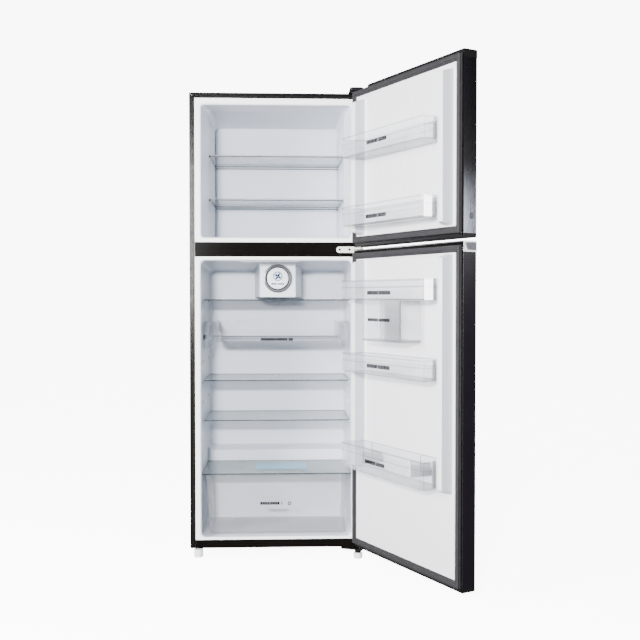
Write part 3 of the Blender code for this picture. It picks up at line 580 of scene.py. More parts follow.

# A near-black ring lines the gap inside the grey ring, round the cover: painted shade in the recess.
recess_painted_shade = painted("tower_recess_painted_shade", (0.012, 0.012, 0.014), 0.6, 0.2, 0.00003, 0.2)
throat = turned("tower_throat", (TOWER_X, FAN_Z), [
    (RING_INNER, TOWER_FRONT + 0.0002), (RING_INNER, TOWER_FRONT + 0.0030), (0.0330, TOWER_FRONT + 0.0030),
    (0.0330, TOWER_FRONT + 0.0010), (0.0360, TOWER_FRONT + 0.0002)], looped=True)
fit(throat, "cabinet", "black_plastic", recess_painted_shade)

print_blue = painted("printed_blue_grey", (0.012, 0.020, 0.060), 0.7, 0.1, 0.00001, 0.05)
print_dark = painted("printed_dark_grey", (0.006, 0.006, 0.008), 0.7, 0.1, 0.00001, 0.04)


def flat_mark(name, outline, y, spot=in_cabinet, depth=0.0002):
    """A printed mark: a very thin raised shape on a face that looks forward."""
    return solid(name, [[(x, y, z) for x, z in outline], [(x, y - depth, z) for x, z in outline]], spot)


SIGN_Z = FAN_Z + 0.0075
SIGN_OUTER, SIGN_INNER = 0.0165, 0.0136
sign_ring = turned("fan_sign_ring", (TOWER_X, SIGN_Z), [
    (SIGN_OUTER, cover_front - 0.0001), (SIGN_OUTER, cover_front - 0.0003),
    (SIGN_INNER, cover_front - 0.0003), (SIGN_INNER, cover_front - 0.0001)], looped=True)
fit(sign_ring, "cabinet", "white_plastic", print_blue)
for blade in range(4):
    turn = math.radians(45 + 90 * blade)
    outline = []
    for u, v in arc(0.0066, 0.0, 0.0058, 0, 360, 14)[:-1]:
        v = v * 0.66 + 0.0020 * (u / 0.01)
        outline.append((TOWER_X + u * math.cos(turn) - v * math.sin(turn),
                        SIGN_Z + u * math.sin(turn) + v * math.cos(turn)))
    sign_blade = flat_mark("fan_sign_blade_%d" % blade, outline, cover_front - 0.0001)
    fit(sign_blade, "cabinet", "white_plastic", print_blue)


# --- Ceiling lamp --------------------------------------------------------------------------------
# A milky strip of frosted plastic across the front of the ceiling diffuses the lamp. It clips up
# into the liner.
lamp_look = see_through("milky_lamp_cover", (0.46, 0.49, 0.52), 0.55, 0.70, 0.30, 2.0, (0.40, 0.43, 0.46))
lamp_low, lamp_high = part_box("lamp_cover")
lamp_rings = []
for z, grow in ((lamp_high.z, 0.0), (lamp_high.z - 0.003, 0.0), (lamp_low.z + 0.0015, -0.001),
                (lamp_low.z, -0.004)):
    lamp_rings.append([(x, y, z) for x, y in outline_of(
        lamp_low.x - CENTRE_X - grow, lamp_high.x - CENTRE_X + grow, lamp_low.y - FRONT_Y - grow,
        lamp_high.y - FRONT_Y + grow, 0.009)])
fit(solid("lamp_diffuser", lamp_rings), "cabinet", "frosted_plastic", lamp_look, "lamp_cover")


# --- Sliding tray --------------------------------------------------------------------------------
# A shallow tray of clear plastic hangs by its rim from a milky moulded rail on each wall, and
# pulls forward.
clear_plastic = see_through("clear_polystyrene", (0.60, 0.62, 0.66), 0.050, 0.60, 0.06, 2.0,
                            (0.08, 0.08, 0.10))
tray_low, tray_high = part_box("sliding_tray")


def clear_tub(name, levels, corner, spot=in_cabinet):
    """An open tub: each level is (half width, front, back, z), up the outside and down the inside."""
    rings = []
    for half, front, back, z in levels:
        rings.append([(x, y, z) for x, y in outline_of(-half, half, front, back, corner, 6)])
    return solid(name, rings, spot)


tray_front, tray_back = tray_low.y - FRONT_Y, tray_high.y - FRONT_Y
TRAY_BASE, TRAY_RIM = tray_low.z, tray_high.z
tray_levels = [
    (0.218, tray_front + 0.006, tray_back - 0.006, TRAY_BASE),
    (0.2215, tray_front + 0.002, tray_back - 0.002, TRAY_BASE + 0.002),
    (0.2228, tray_front + 0.0008, tray_back - 0.0008, TRAY_BASE + 0.006),
    (0.2232, tray_front + 0.0004, tray_back - 0.0004, TRAY_BASE + 0.0200),
    (0.2236, tray_front, tray_back, TRAY_BASE + 0.0205), (0.2238, tray_front, tray_back, TRAY_RIM - 0.0036),
    (0.2438, tray_front, tray_back, TRAY_RIM - 0.0034), (0.2440, tray_front, tray_back, TRAY_RIM - 0.0004),
    (0.2436, tray_front + 0.0002, tray_back - 0.0002, TRAY_RIM),
    (0.2222, tray_front + 0.0020, tray_back - 0.0020, TRAY_RIM),
    (0.2216, tray_front + 0.0024, tray_back - 0.0024, TRAY_RIM - 0.0010),
    (0.2206, tray_front + 0.0028, tray_back - 0.0028, TRAY_BASE + 0.008),
    (0.2180, tray_front + 0.0050, tray_back - 0.0050, TRAY_BASE + 0.0028)]
tray = fit(clear_tub("pull_out_tray", tray_levels, 0.010), "tray", "clear_plastic", clear_plastic,
           "sliding_tray")
tray_floor = see_through("tray_floor_plastic", (0.34, 0.36, 0.42), 0.30, 0.66, 0.10, 2.0, (0.28, 0.30, 0.36))
tray.data.materials.append(tray_floor.material)
for face in tray.data.polygons:
    face.material_index = 1 if abs(face.normal.z) > 0.8 and face.center.z < TRAY_BASE + 0.006 else 0
band_look = see_through("tray_front_plastic", (0.30, 0.32, 0.39), 0.24, 0.40, 0.10, 2.0, (0.28, 0.30, 0.36))
band = bar("tray_front_band", (-0.220, tray_front + 0.0030, TRAY_BASE + 0.0080),
           (0.220, tray_front + 0.0034, TRAY_BASE + 0.0196))
fit(band, "tray", "clear_plastic", band_look)
tray_line = bar("tray_front_line", (-0.222, tray_front - 0.0001, TRAY_BASE + 0.0194),
                (0.222, tray_front + 0.0006, TRAY_BASE + 0.0216))
fit(tray_line, "tray", "clear_plastic", smoked_edge)

milky = see_through("milky_rail_plastic", (0.52, 0.55, 0.61), 0.16, 0.34, 0.30, 2.0, (0.30, 0.33, 0.40))
for name, side in (("left", -1), ("right", 1)):
    low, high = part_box("tray_rail_" + name)
    inner, outer = 0.2262, 0.2584
    profile = [(outer, low.z), (outer, high.z), (inner, high.z), (inner, high.z - 0.004),
               (inner + 0.016, high.z - 0.010), (inner + 0.018, low.z + 0.045), (inner + 0.004, low.z + 0.040),
               (inner + 0.004, low.z + 0.034), (inner + 0.020, low.z + 0.028), (inner + 0.022, low.z)]
    rings = [[(side * x, y - FRONT_Y, z) for x, z in profile] for y in (low.y, high.y)]
    fit(soften(solid("tray_rail_moulding_" + name, rings), 0.0012), "cabinet", "white_plastic", milky,
        "tray_rail_" + name)


# --- Crisper drawer ------------------------------------------------------------------------------
# A deep drawer of clear plastic fills the bottom of the fridge. Its rim is turned out, a step runs
# round under it, and the front wall leans a little.
crisper_low, crisper_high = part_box("crisper_drawer")
C_LOW, C_HIGH = crisper_low.z, crisper_high.z
C_FRONT, C_BACK = crisper_low.y - FRONT_Y, crisper_high.y - FRONT_Y
crisper_levels = [
    (0.2360, C_FRONT + 0.012, C_BACK - 0.012, C_LOW),
    (0.2395, C_FRONT + 0.006, C_BACK - 0.006, C_LOW + 0.002),
    (0.2410, C_FRONT + 0.004, C_BACK - 0.004, C_LOW + 0.008),
    (0.2478, C_FRONT + 0.0020, C_BACK - 0.002, C_HIGH - 0.022),
    (0.2500, C_FRONT + 0.0008, C_BACK - 0.001, C_HIGH - 0.018),
    (0.2510, C_FRONT + 0.0006, C_BACK - 0.0006, C_HIGH - 0.006),
    (0.2528, C_FRONT, C_BACK, C_HIGH - 0.005),
    (0.2530, C_FRONT, C_BACK, C_HIGH - 0.001),
    (0.2526, C_FRONT + 0.0004, C_BACK - 0.0004, C_HIGH),
    (0.2490, C_FRONT + 0.0024, C_BACK - 0.0024, C_HIGH),
    (0.2484, C_FRONT + 0.0030, C_BACK - 0.0030, C_HIGH - 0.001),
    (0.2476, C_FRONT + 0.0034, C_BACK - 0.0034, C_HIGH - 0.017),
    (0.2454, C_FRONT + 0.0046, C_BACK - 0.0046, C_HIGH - 0.022),
    (0.2388, C_FRONT + 0.0064, C_BACK - 0.0064, C_LOW + 0.009),
    (0.2350, C_FRONT + 0.0120, C_BACK - 0.0120, C_LOW + 0.0030)]
crisper_plastic = see_through("crisper_clear_plastic", (0.66, 0.68, 0.73), 0.075, 0.62, 0.08, 2.0,
                              (0.10, 0.11, 0.13))
fit(clear_tub("deep_drawer", crisper_levels, 0.012), "crisper", "clear_plastic", crisper_plastic,
    "crisper_drawer")


BLOCK_LENGTH, BLOCK_GAP = 0.0085, 0.0012


def mark_bars(name, start, bars, low, high, y, body, spot=in_cabinet, way=1):
    """A plain row of printed blocks. bars are (gap before, length) pairs."""
    x = start
    for index, (gap, length) in enumerate(bars):
        x += way * gap
        count = max(1, round(length / BLOCK_LENGTH))
        for block in range(count):
            near = x + way * length * block / count
            far = near + way * (length / count - (BLOCK_GAP if count > 1 else 0.0))
            outline = outline_of(min(near, far), max(near, far), low, high, 0.0006, 2)
            mark = flat_mark("%s_%d_%d" % (name, index, block), outline, y, spot)
            fit(mark, body, "clear_plastic", print_dark)
        x += way * length


mark_bars("cover_mark", TOWER_X - 0.0230, ((0.0, 0.020), (0.003, 0.024)), FAN_Z - 0.0225, FAN_Z - 0.0175,
          cover_front - 0.0001, "cabinet")


def on_left_wall(along, out, z):
    """A place on the fridge liner's left wall, which leans in towards the back."""
    return in_cabinet(-(0.2646 - 0.0061 * along) + 0.0003 + out, along, z)


mark_bars("wall_mark", 0.1400, ((0.0, 0.050), (0.008, 0.056)), 0.7570, 0.7740, 0.0002, "cabinet",
          on_left_wall)
mark_bars("drawer_mark", -0.058, ((0.0, 0.034), (0.001, 0.034), (0.006, 0.0025)), 0.1780, 0.1880,
          C_FRONT + 0.0026, "crisper")
badge = turned("drawer_badge", (0.0450, 0.1822), [(0.0064, C_FRONT + 0.0026), (0.0064, C_FRONT + 0.0022),
                                                  (0.0038, C_FRONT + 0.0022), (0.0038, C_FRONT + 0.0026)],
               looped=True, sides=28)
fit(badge, "crisper", "clear_plastic", print_dark)
mark_bars("tray_mark", -0.056, ((0.0, 0.052), (0.001, 0.042), (0.004, 0.016)), 0.7560, 0.7655,
          tray_front - 0.0001, "tray")


# --- Doors ---------------------------------------------------------------------------------------
# Each door is a gloss black skin round a foam core, closed at the top and the bottom by a moulded
# cap. Everything on a door is drawn as if the door were shut, and turned about the hinge pin.
hinge = next(j for j in frame["joints"] if j["name"] == "freezer_door_hinge")
OPEN = math.radians(-hinge["range_deg"][0])
PIN = Vector(hinge["pos_m"])


def in_door(x, y, z):
    """A place on a shut door, in cabinet measures, carried round to where the open door stands."""
    flat = in_cabinet(x, y, z) - Vector((PIN.x, PIN.y, 0.0))
    turn_x = flat.x * math.cos(OPEN) - flat.y * math.sin(OPEN)
    turn_y = flat.x * math.sin(OPEN) + flat.y * math.cos(OPEN)
    return Vector((PIN.x + turn_x, PIN.y + turn_y, z))


DOOR_HALF = 0.299
DOOR_BACK = -0.013
DOOR_FRONT = -0.063
EDGE_ROUND = 0.005


def door_outline(shrink=0.0):
    """A door seen from above, with round front edges."""
    half, front, back = DOOR_HALF - shrink, DOOR_FRONT + shrink, DOOR_BACK - shrink
    return ([(half - 0.001, back), (half, back - 0.001)][::-1]
            + [(-half, back - 0.001), (-half + 0.001, back)][::-1]
            + arc(-half + EDGE_ROUND, front + EDGE_ROUND, EDGE_ROUND, 180, 270, 8)
            + arc(half - EDGE_ROUND, front + EDGE_ROUND, EDGE_ROUND, 270, 360, 8))


def door_skin_outline():
    half, front = DOOR_HALF, DOOR_FRONT
    back, thick = DOOR_BACK - 0.0004, 0.0010
    outer = (arc(-half + EDGE_ROUND, front + EDGE_ROUND, EDGE_ROUND, 180, 270, 8)
             + arc(half - EDGE_ROUND, front + EDGE_ROUND, EDGE_ROUND, 270, 360, 8))
    bend = EDGE_ROUND - thick
    inner = (arc(half - EDGE_ROUND, front + EDGE_ROUND, bend, 360, 270, 8)
             + arc(-half + EDGE_ROUND, front + EDGE_ROUND, bend, 270, 180, 8))
    return [(-half, back)] + outer + [(half, back), (half - thick, back)] + inner + [(-half + thick, back)]


fridge_skin_look = painted("door_film", (0.0065, 0.0042, 0.0080), 0.26, 0.3, 0.000003, 0.30)
for name in ("freezer", "fridge"):
    low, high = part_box(name + "_door_skin")
    skin = solid(name + "_door_shell", [[(x, y, z) for x, y in door_skin_outline()] for z in (low.z, high.z)],
                 in_door)
    fit(skin, name + "_door", "black_gloss", fridge_skin_look, name + "_door_skin")
    for side in (-1, 1):
        edges = sorted((side * 0.2925, side * 0.2988))
        high_now = 1.6085 if name == "freezer" and side > 0 else high.z + 0.010
        lip = bar(name + "_door_return_lip_%s" % ("free" if side < 0 else "hinge"),
                  (edges[0], -0.0136, low.z - 0.010), (edges[1], -0.0122, high_now), in_door)
        fit(soften(lip, 0.0006, 2), name + "_door", "black_gloss", gloss_rail)


def edge_film_painted_reflection():
    """Gloss film along the freezer door's free edge. Its lower half is coloured as silver metal that fades out
    upwards: a painted reflection.
    """
    made = Finish("freezer_door_edge_film", Base_Color=(0.006, 0.005, 0.007), Roughness=0.2)
    where = made.node("TexCoord", output="Generated")
    upright = made.node("SeparateXYZ", inputs={"Vector": where}, output="Z")
    painted_reflection_share = made.node("MapRange", {"interpolation_type": "SMOOTHSTEP"},
                         {"Value": upright, "From Min": 0.04, "From Max": 0.42, "To Min": 1.0, "To Max": 0.0})
    brushed = made.noise(160.0, 3.0, (6.0, 6.0, 0.08))
    made.feed(made.surface, {
        # Silver colour and metal rise towards the bottom: the painted reflection.
        "Base Color": made.mix(painted_reflection_share * made.spread(brushed, 0.85, 1.0), (0.006, 0.005, 0.007),
                               (0.58, 0.60, 0.72)),
        "Metallic": painted_reflection_share * 0.9, "Roughness": made.spread(brushed, 0.24, 0.32)})
    made.bump(made.noise(300.0, 1.0), 0.000012)
    return made


strip_low, strip_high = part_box("freezer_door_skin")
strip = bar("freezer_door_edge_strip", (-DOOR_HALF, -0.0590, strip_low.z), (-0.2986, -0.0140, strip_high.z),
            in_door)
fit(strip, "freezer_door", "black_gloss", edge_film_painted_reflection())
# A thin bright metal strip down the fridge door's free back corner stands for the highlight along the skin's bend:
# painted highlight.
line_low, line_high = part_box("fridge_door_skin")
painted_highlight_line = bar("fridge_door_edge_line", (-DOOR_HALF, -0.0142, line_low.z), (-0.2978, -0.0130, line_high.z),
                in_door)
painted_highlight_metal = bright_metal("painted_highlight_metal", (0.55, 0.55, 0.57), 0.35)
fit(painted_highlight_line, "fridge_door", "bright_trim", painted_highlight_metal)


# --- Door caps -----------------------------------------------------------------------------------
# Black mouldings close the ends of the doors and hold the skin square. The freezer's top cap
# steps down near the hinge, to leave room for the hinge cover.
cap_black = painted("black_cap_moulding", (0.0060, 0.0056, 0.0060), 0.34, 0.25, 0.00006, 0.3)
for node_name in ("freezer_door_bottom_cap", "fridge_door_bottom_cap"):
    low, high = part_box(node_name)
    rings = [[(x, y, z) for x, y in door_outline(shrink)]
             for z, shrink in ((low.z, 0.0012), (low.z + 0.0012, 0.0), (high.z, 0.0))]
    body = node_name.replace("_bottom_cap", "")
    fit(solid(node_name + "_moulding", rings, in_door), body, "black_plastic", cap_black, node_name)


def top_cap():
    """Walk across the cap in x, so that its top can step down near the hinge."""
    low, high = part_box("freezer_door_top_cap")
    step, drop = 0.2135, 0.0146
    stations = [(-DOOR_HALF, 0.0010, high.z), (-DOOR_HALF + 0.0010, 0.0002, high.z),
                (-DOOR_HALF + 0.004, 0.0, high.z), (step - 0.0045, 0.0, high.z),
                (step - 0.0020, 0.0, high.z - 0.0012), (step, 0.0, high.z - 0.0040),
                (step + 0.0010, 0.0, high.z - drop), (DOOR_HALF - 0.004, 0.0, high.z - drop),
                (DOOR_HALF - 0.001, 0.0002, high.z - drop), (DOOR_HALF, 0.0010, high.z - drop)]
    rings = []
    for x, sink, top in stations:
        from_end = DOOR_HALF - abs(x)
        front = DOOR_FRONT + (0.0034 if from_end < 0.0005 else 0.0006 if from_end < 0.003 else 0.0)
        back = DOOR_BACK - 0.0004
        outline = [(back, low.z), (back, top - 0.0015 - sink), (back - 0.0015, top - sink),
                   (front + 0.0020, top - sink), (front, top - 0.0020 - sink), (front, low.z)]
        rings.append([(x, y, z) for y, z in outline])
    return solid("freezer_door_top_moulding", rings, in_door)


fit(top_cap(), "freezer_door", "black_plastic", cap_black, "freezer_door_top_cap")


# --- Fridge door handle --------------------------------------------------------------------------
# A bright plated bar runs along the whole top edge of the fridge door, with a groove for the
# fingers in front. Its end shows as a silver block with a slanted face.
def handle_profile(x, groove, inset):
    """The bar's section, with a groove of a given depth in its front."""
    low, high, front, back = 1.0412 + inset, 1.0740 - inset, -0.0630 + inset, -0.0134 - inset
    outline = [(back, low), (back, high - 0.0010), (back - 0.0010, high), (front + 0.0020, high),
               (front, high - 0.0020), (front, 1.0682), (front + groove, 1.0670), (front + groove + 0.0005, 1.0640),
               (front + groove, 1.0500), (front, 1.0480), (front, low + 0.0010), (front + 0.0010, low)]
    return [(x, y, z) for y, z in outline]


stations = ((-0.2986, 0.0004, 0.0008), (-0.2978, 0.0005, 0.0), (-0.2700, 0.0005, 0.0), (-0.2690, 0.0150, 0.0),
            (-0.2640, 0.0195, 0.0), (0.1940, 0.0195, 0.0), (0.1990, 0.0150, 0.0), (0.2000, 0.0005, 0.0),
            (0.2980, 0.0005, 0.0), (0.2988, 0.0004, 0.0008))
dim_chrome = bright_metal("handle_plating", (0.50, 0.50, 0.53), 0.20)
handle = solid("plated_handle_bar", [handle_profile(*station) for station in stations], in_door)
fit(handle, "fridge_door", "bright_trim", dim_chrome, "fridge_door_handle")
backing = bar("handle_backing", (-0.2984, -0.0133, 1.0410), (0.2986, -0.0126, 1.0700), in_door)
fit(soften(backing, 0.0002, 1), "fridge_door", "black_plastic", gloss_rail)
dull_plate = bright_metal("dull_plating", (0.16, 0.16, 0.18), 0.32)
facet = [(-0.0618, 1.0470), (-0.0300, 1.0470), (-0.0200, 1.0690), (-0.0400, 1.0700), (-0.0618, 1.0690)]
slant = solid("handle_end_facet", [[(x, y, z) for y, z in facet] for x in (-0.2990, -0.2984)], in_door)
fit(soften(slant, 0.0002, 1), "fridge_door", "bright_trim", dull_plate)


# --- Gaskets -------------------------------------------------------------------------------------
# A dark grey magnetic seal runs round each door liner and is pressed into a groove. Its section
# has a flat foot, a bellows and a rounded bead that holds the magnet.
def gasket_finish():
    made = Finish("gasket_rubber", Base_Color=(0.024, 0.023, 0.025), Roughness=0.60, Specular_IOR_Level=0.20)
    dust = made.noise(35.0, 4.0)
    made.feed(made.surface, {"Base Color": made.mix(made.spread(dust, 0.0, 1.0), (0.0220, 0.0210, 0.0230),
                                                    (0.0270, 0.0260, 0.0280)),
                             "Roughness": made.spread(dust, 0.50, 0.64)})
    made.bump(made.noise(500.0, 2.0), 0.00006)
    return made


gasket_look = gasket_finish()
GASKET_SECTION = (
    (0.0, -0.0127), (0.0, -0.0095), (0.0008, -0.0085), (0.0020, -0.0082), (0.0022, -0.0062),
    (0.0008, -0.0050), (0.0004, -0.0036), (0.0012, -0.0020), (0.0030, -0.0013), (0.0105, -0.0012),
    (0.0125, -0.0018), (0.0134, -0.0034), (0.0130, -0.0050), (0.0150, -0.0066), (0.0190, -0.0076),
    (0.0208, -0.0086), (0.0208, -0.0127))
for name in ("freezer", "fridge"):
    low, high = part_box(name + "_door_gasket")
    rings = []
    for inset, y in GASKET_SECTION:
        outline = outline_of(-0.293 + inset, 0.293 - inset, low.z + inset, high.z - inset, 0.0035, 5)
        rings.append([(x, y, z) for x, z in outline])
    seal = solid(name + "_door_seal", rings, in_door, looped=True)
    fit(seal, name + "_door", "grey_gasket", gasket_look, name + "_door_gasket")


# --- Door liners ---------------------------------------------------------------------------------
# A formed white sheet backs each door. Two upright ridges stand out from it to carry the bins, and
# the field between them is slightly sunk. The ridges' sloping sides are coloured darker: painted shade.
def ramp(value, start, end):
    """A smooth step from 0 at start to 1 at end."""
    share = min(max((value - start) / (end - start), 0.0), 1.0)
    return share * share * (3.0 - 2.0 * share)


def between(value, low, high, slope):
    return ramp(value, low, low + slope) * (1.0 - ramp(value, high - slope, high))


def steps_along(low, high, features, fine, coarse):
    """Grid lines that crowd together where the sheet bends."""
    marks = {low, high}
    for start, end in features:
        count = max(2, int((end - start) / fine))
        marks.update(start + (end - start) * i / count for i in range(count + 1))
    marks = sorted(m for m in marks if low <= m <= high)
    filled = []
    for a, b in zip(marks, marks[1:]):
        count = max(1, int((b - a) / coarse))
        filled += [a + (b - a) * i / count for i in range(count)]
    return filled + [marks[-1]]


def formed_sheet(name, low, high, ridge_low, ridge_high):
    """The liner as one sheet: height over the panel at each crossing of the grid lines."""
    edge, plane, back = 0.2712, -0.0070, -0.0126
    inner, outer, tall, slope = 0.2180, 0.2610, 0.0368, 0.0110
    bends = [(side * away - 0.009, side * away + 0.009) for side in (-1, 1) for away in (inner, outer)]
    xs = steps_along(-edge, edge, bends, 0.0016, 0.05)
    ends = [(ridge_low - 0.004, ridge_low + 0.026), (ridge_high - 0.026, ridge_high + 0.004)]
    zs = steps_along(low, high, ends, 0.0020, 0.08)
    work = bmesh.new()
    rows = []
    for z in zs:
        row = []
        for x in xs:
            away = abs(x)
            ridge = between(away, inner, outer, slope) * between(z, ridge_low, ridge_high, 0.014)
            across = 1.0 - ramp(away, inner - 0.004, inner)
            field = across * between(z, ridge_low - 0.002, ridge_high + 0.002, 0.010)
            row.append(work.verts.new(in_door(x, plane + tall * ridge - 0.0028 * field, z)))
        rows.append(row)
    base = [[work.verts.new(in_door(x, back, z)) for x in (xs[0], xs[-1])] for z in (zs[0], zs[-1])]
    for first, second in zip(rows, rows[1:]):
        for i in range(len(xs) - 1):
            work.faces.new((first[i], first[i + 1], second[i + 1], second[i]))
    work.faces.new([row[0] for row in rows] + [base[1][0], base[0][0]])
    work.faces.new([row[-1] for row in rows] + [base[1][1], base[0][1]])
    work.faces.new(rows[0] + [base[0][1], base[0][0]])
    work.faces.new(rows[-1] + [base[1][1], base[1][0]])
    work.faces.new((base[0][0], base[0][1], base[1][1], base[1][0]))
    bmesh.ops.recalc_face_normals(work, faces=work.faces)
    mesh = bpy.data.meshes.new(name)
    work.to_mesh(mesh)
    work.free()
    mesh.shade_smooth()
    mesh.set_sharp_from_angle(angle=math.radians(50))
    piece = bpy.data.objects.new(name, mesh)
    bpy.context.scene.collection.objects.link(piece)
    return piece


# The ridge slopes take a darker grey white: painted shade where they turn away from the light.
slope_painted_shade = painted("door_liner_slope_painted_shade", (0.42, 0.43, 0.47), 0.32, 0.012, 0.00002, 0.5)
door_white = painted("door_liner_white", (0.74, 0.74, 0.77), 0.30, 0.012, 0.00002, 0.5)
for name, ridge_low, ridge_high in (("freezer", 1.1190, 1.5770), ("fridge", 0.3320, 1.0390)):
    low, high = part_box(name + "_door_liner")
    sheet = formed_sheet(name + "_door_inner_sheet", low.z + 0.0002, high.z - 0.0002, ridge_low, ridge_high)
    fit(sheet, name + "_door", "white_plastic", door_white, name + "_door_liner")
    sheet.data.materials.append(slope_painted_shade.material)
    facing = (in_door(0, 1, 0) - in_door(0, 0, 0)).normalized()
    # Faces that turn sideways get the painted shade.
    for face in sheet.data.polygons:
        face.material_index = 1 if abs(face.normal.z) < 0.7 and abs(face.normal.dot(facing)) < 0.62 else 0

for index, (x, z, wide, tall) in enumerate(((0.1150, 0.2210, 0.037, 0.033), (-0.0150, 0.2160, 0.030, 0.040),
                                            (-0.1620, 0.2330, 0.028, 0.030))):
    rings = []
    for grow, y in ((0.0, -0.0073), (0.0004, -0.0068), (0.0016, -0.0067), (0.0020, -0.0073)):
        circle = arc(0.0, 0.0, 1.0, 0, 360, 40)[:-1]
        rings.append([(x + u * (wide - grow), y, z + v * (tall - grow)) for u, v in circle])
    raised = solid("raised_outline_%d" % (index + 1), rings, in_door, looped=True)
    fit(raised, "fridge_door", "white_plastic", door_white)


# --- Door bins -----------------------------------------------------------------------------------
# Clear moulded bins hang between the ridges. Behind they are narrow enough to pass between them,
# and in front they widen. A rib runs along each front, and the rim has a bead.
BIN_BACK, BIN_FRONT = -0.0062, 0.0820
BIN_REAR_HALF, BIN_FRONT_HALF = 0.2163, 0.2320
SHOULDER = 0.0310
bin_edge = see_through("clear_edge_polystyrene", (0.14, 0.14, 0.16), 0.30, 0.70, 0.08, 2.0,
                       (0.05, 0.05, 0.06))
thin_wall = see_through("thin_partition", (0.60, 0.62, 0.66), 0.015, 0.12, 0.06, 2.0, (0.30, 0.30, 0.33))


def bin_ring(z, inset, lean):
    """One level of a bin seen from above. lean pulls the front wall back."""
    rear, front_half = BIN_REAR_HALF - inset, BIN_FRONT_HALF - inset
    front, corner = BIN_FRONT - inset - lean, 0.014
    outline = [(rear, BIN_BACK + inset), (rear, SHOULDER - 0.001 + inset), (rear + 0.001, SHOULDER + inset),
               (front_half - 0.002, SHOULDER + inset), (front_half, SHOULDER + 0.002 + inset)]
    outline += arc(front_half - corner, front - corner, corner, 0, 90, 7)
    left = [(-x, y) for x, y in outline][::-1]
    return [(x, y, z) for x, y in outline + left]


def door_bin(name, low, high, rib, body, node_name):
    levels = [
        (low, 0.0060, 0.006), (low + 0.0012, 0.0030, 0.003), (low + 0.0040, 0.0008, 0.0014),
        (low + 0.0090, 0.0004, 0.0010), (rib - 0.0020, 0.0004, 0.0008), (rib - 0.0010, 0.0, 0.0),
        (rib + 0.0010, 0.0, 0.0), (rib + 0.0020, 0.0010, 0.0016), (high - 0.0045, 0.0008, 0.0008),
        (high - 0.0035, 0.0, 0.0), (high - 0.0008, 0.0, 0.0), (high, 0.0006, 0.0004)]
    inside = [
        (high, 0.0024, 0.0), (high - 0.0006, 0.0028, 0.0), (rib + 0.0030, 0.0030, 0.0010),
        (low + 0.0080, 0.0030, 0.0016), (low + 0.0040, 0.0042, 0.0026), (low + 0.0026, 0.0080, 0.006)]
    rings = [bin_ring(*level) for level in levels + inside]
    piece = fit(solid(name, rings, in_door, sharp=24), body, "clear_plastic", clear_plastic, node_name)
    piece.data.materials.append(bin_edge.material)
    around = len(rings[0])
    corners = (1, 3, 4, 8, 17, 21, 22, 24)  # the narrow upright faces where two walls meet
    for face in piece.data.polygons:
        level, side = divmod(face.index - 2, around)
        if level in (0, 1, 5, 9, 10, 11) or (face.index > 1 and level < 11 and side in corners):
            face.material_index = 1
    return piece


BINS = (("freezer_bin_upper", 0.0235, (0.071, -1, ((0.0, 0.066), (0.002, 0.046))), 0.0245),
        ("freezer_bin_lower", 0.0235, (0.074, -1, ((0.0, 0.066), (0.002, 0.048))), 0.0175),
        ("fridge_bin_upper", 0.0235, (0.065, -1, ((0.0, 0.064), (0.002, 0.066))), 0.0180),
        ("fridge_bin_middle", 0.0235, (0.067, -1, ((0.0, 0.064), (0.002, 0.064))), 0.0250),
        ("fridge_bin_lower", 0.0260, (0.076, -1, ((0.0, 0.062), (0.002, 0.048))), 0.0380))
MARK_ON_BIN = BIN_FRONT - 0.0002
for node_name, rib_drop, (start, way, bars), mark_up in BINS:
    low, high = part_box(node_name)
    door_bin(node_name + "_tub", low.z, high.z, high.z - rib_drop, node_name + "_body", node_name)
    mark_low = low.z + mark_up
    mark_bars(node_name + "_mark", start, bars, mark_low - 0.0010, mark_low + 0.0112, MARK_ON_BIN,
              node_name + "_body", lambda x, y, z: in_door(x, 2 * MARK_ON_BIN - y, z), way)

# White blocks at the free end of two bins glow with an emission of 3.0, though they are no lamp: painted light.
painted_glow_white = painted("end_block_white_painted_glow", (0.95, 0.95, 0.95), 0.25, 0.01)
painted_glow_white.feed(painted_glow_white.surface, {"Emission Color": (1.0, 1.0, 1.0), "Emission Strength": 3.0})
for node_name, near, far in (("freezer_bin_lower", 0.0490, 0.0765), ("fridge_bin_upper", 0.0440, 0.0740)):
    low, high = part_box(node_name)
    block = bar(node_name + "_end_block", (-0.2319, near, low.z + 0.001), (-0.2300, far, high.z), in_door)
    fit(soften(block, 0.0006), node_name + "_body", "clear_plastic", painted_glow_white)

low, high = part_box("fridge_bin_lower")
for index, x in enumerate((0.098, -0.168)):
    outline = [(-0.003, low.z + 0.030), (0.074, low.z + 0.030), (0.076, high.z - 0.004), (0.040, high.z),
               (0.006, high.z - 0.006)]
    rings = [[(x + side, y, min(z, high.z - 0.0002)) for y, z in outline] for side in (-0.0009, 0.0009)]
    fit(soften(solid("bottle_divider_%d" % (index + 1), rings, in_door), 0.0004, 1), "fridge_bin_lower_body",
        "clear_plastic", thin_wall)
    for where, depth, start, end in (("front", 0.0745, low.z + 0.030, high.z - 0.004),
                                     ("rear", 0.0400, low.z + 0.045, high.z + 0.012)):
        line = bar("bottle_divider_%s_edge_%d" % (where, index + 1), (x - 0.0011, depth, start),
                   (x + 0.0011, depth + 0.0016, end), in_door)
        fit(line, "fridge_bin_lower_body", "clear_plastic", bin_edge)


# --- Care box ------------------------------------------------------------------------------------
# A small box of the same clear plastic hangs under the top fridge bin. A thin partition divides
# it in the middle.
care_low, care_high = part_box("care_box")
CARE_LEFT, CARE_RIGHT, CARE_FRONT, CARE_BACK = -0.115, 0.104, 0.081, -0.004


def care_ring(z, inset):
    outline = outline_of(CARE_LEFT + inset, CARE_RIGHT - inset, CARE_BACK + inset, CARE_FRONT - inset,
                         0.007, 5)
    return [(x, y, z) for x, y in outline]


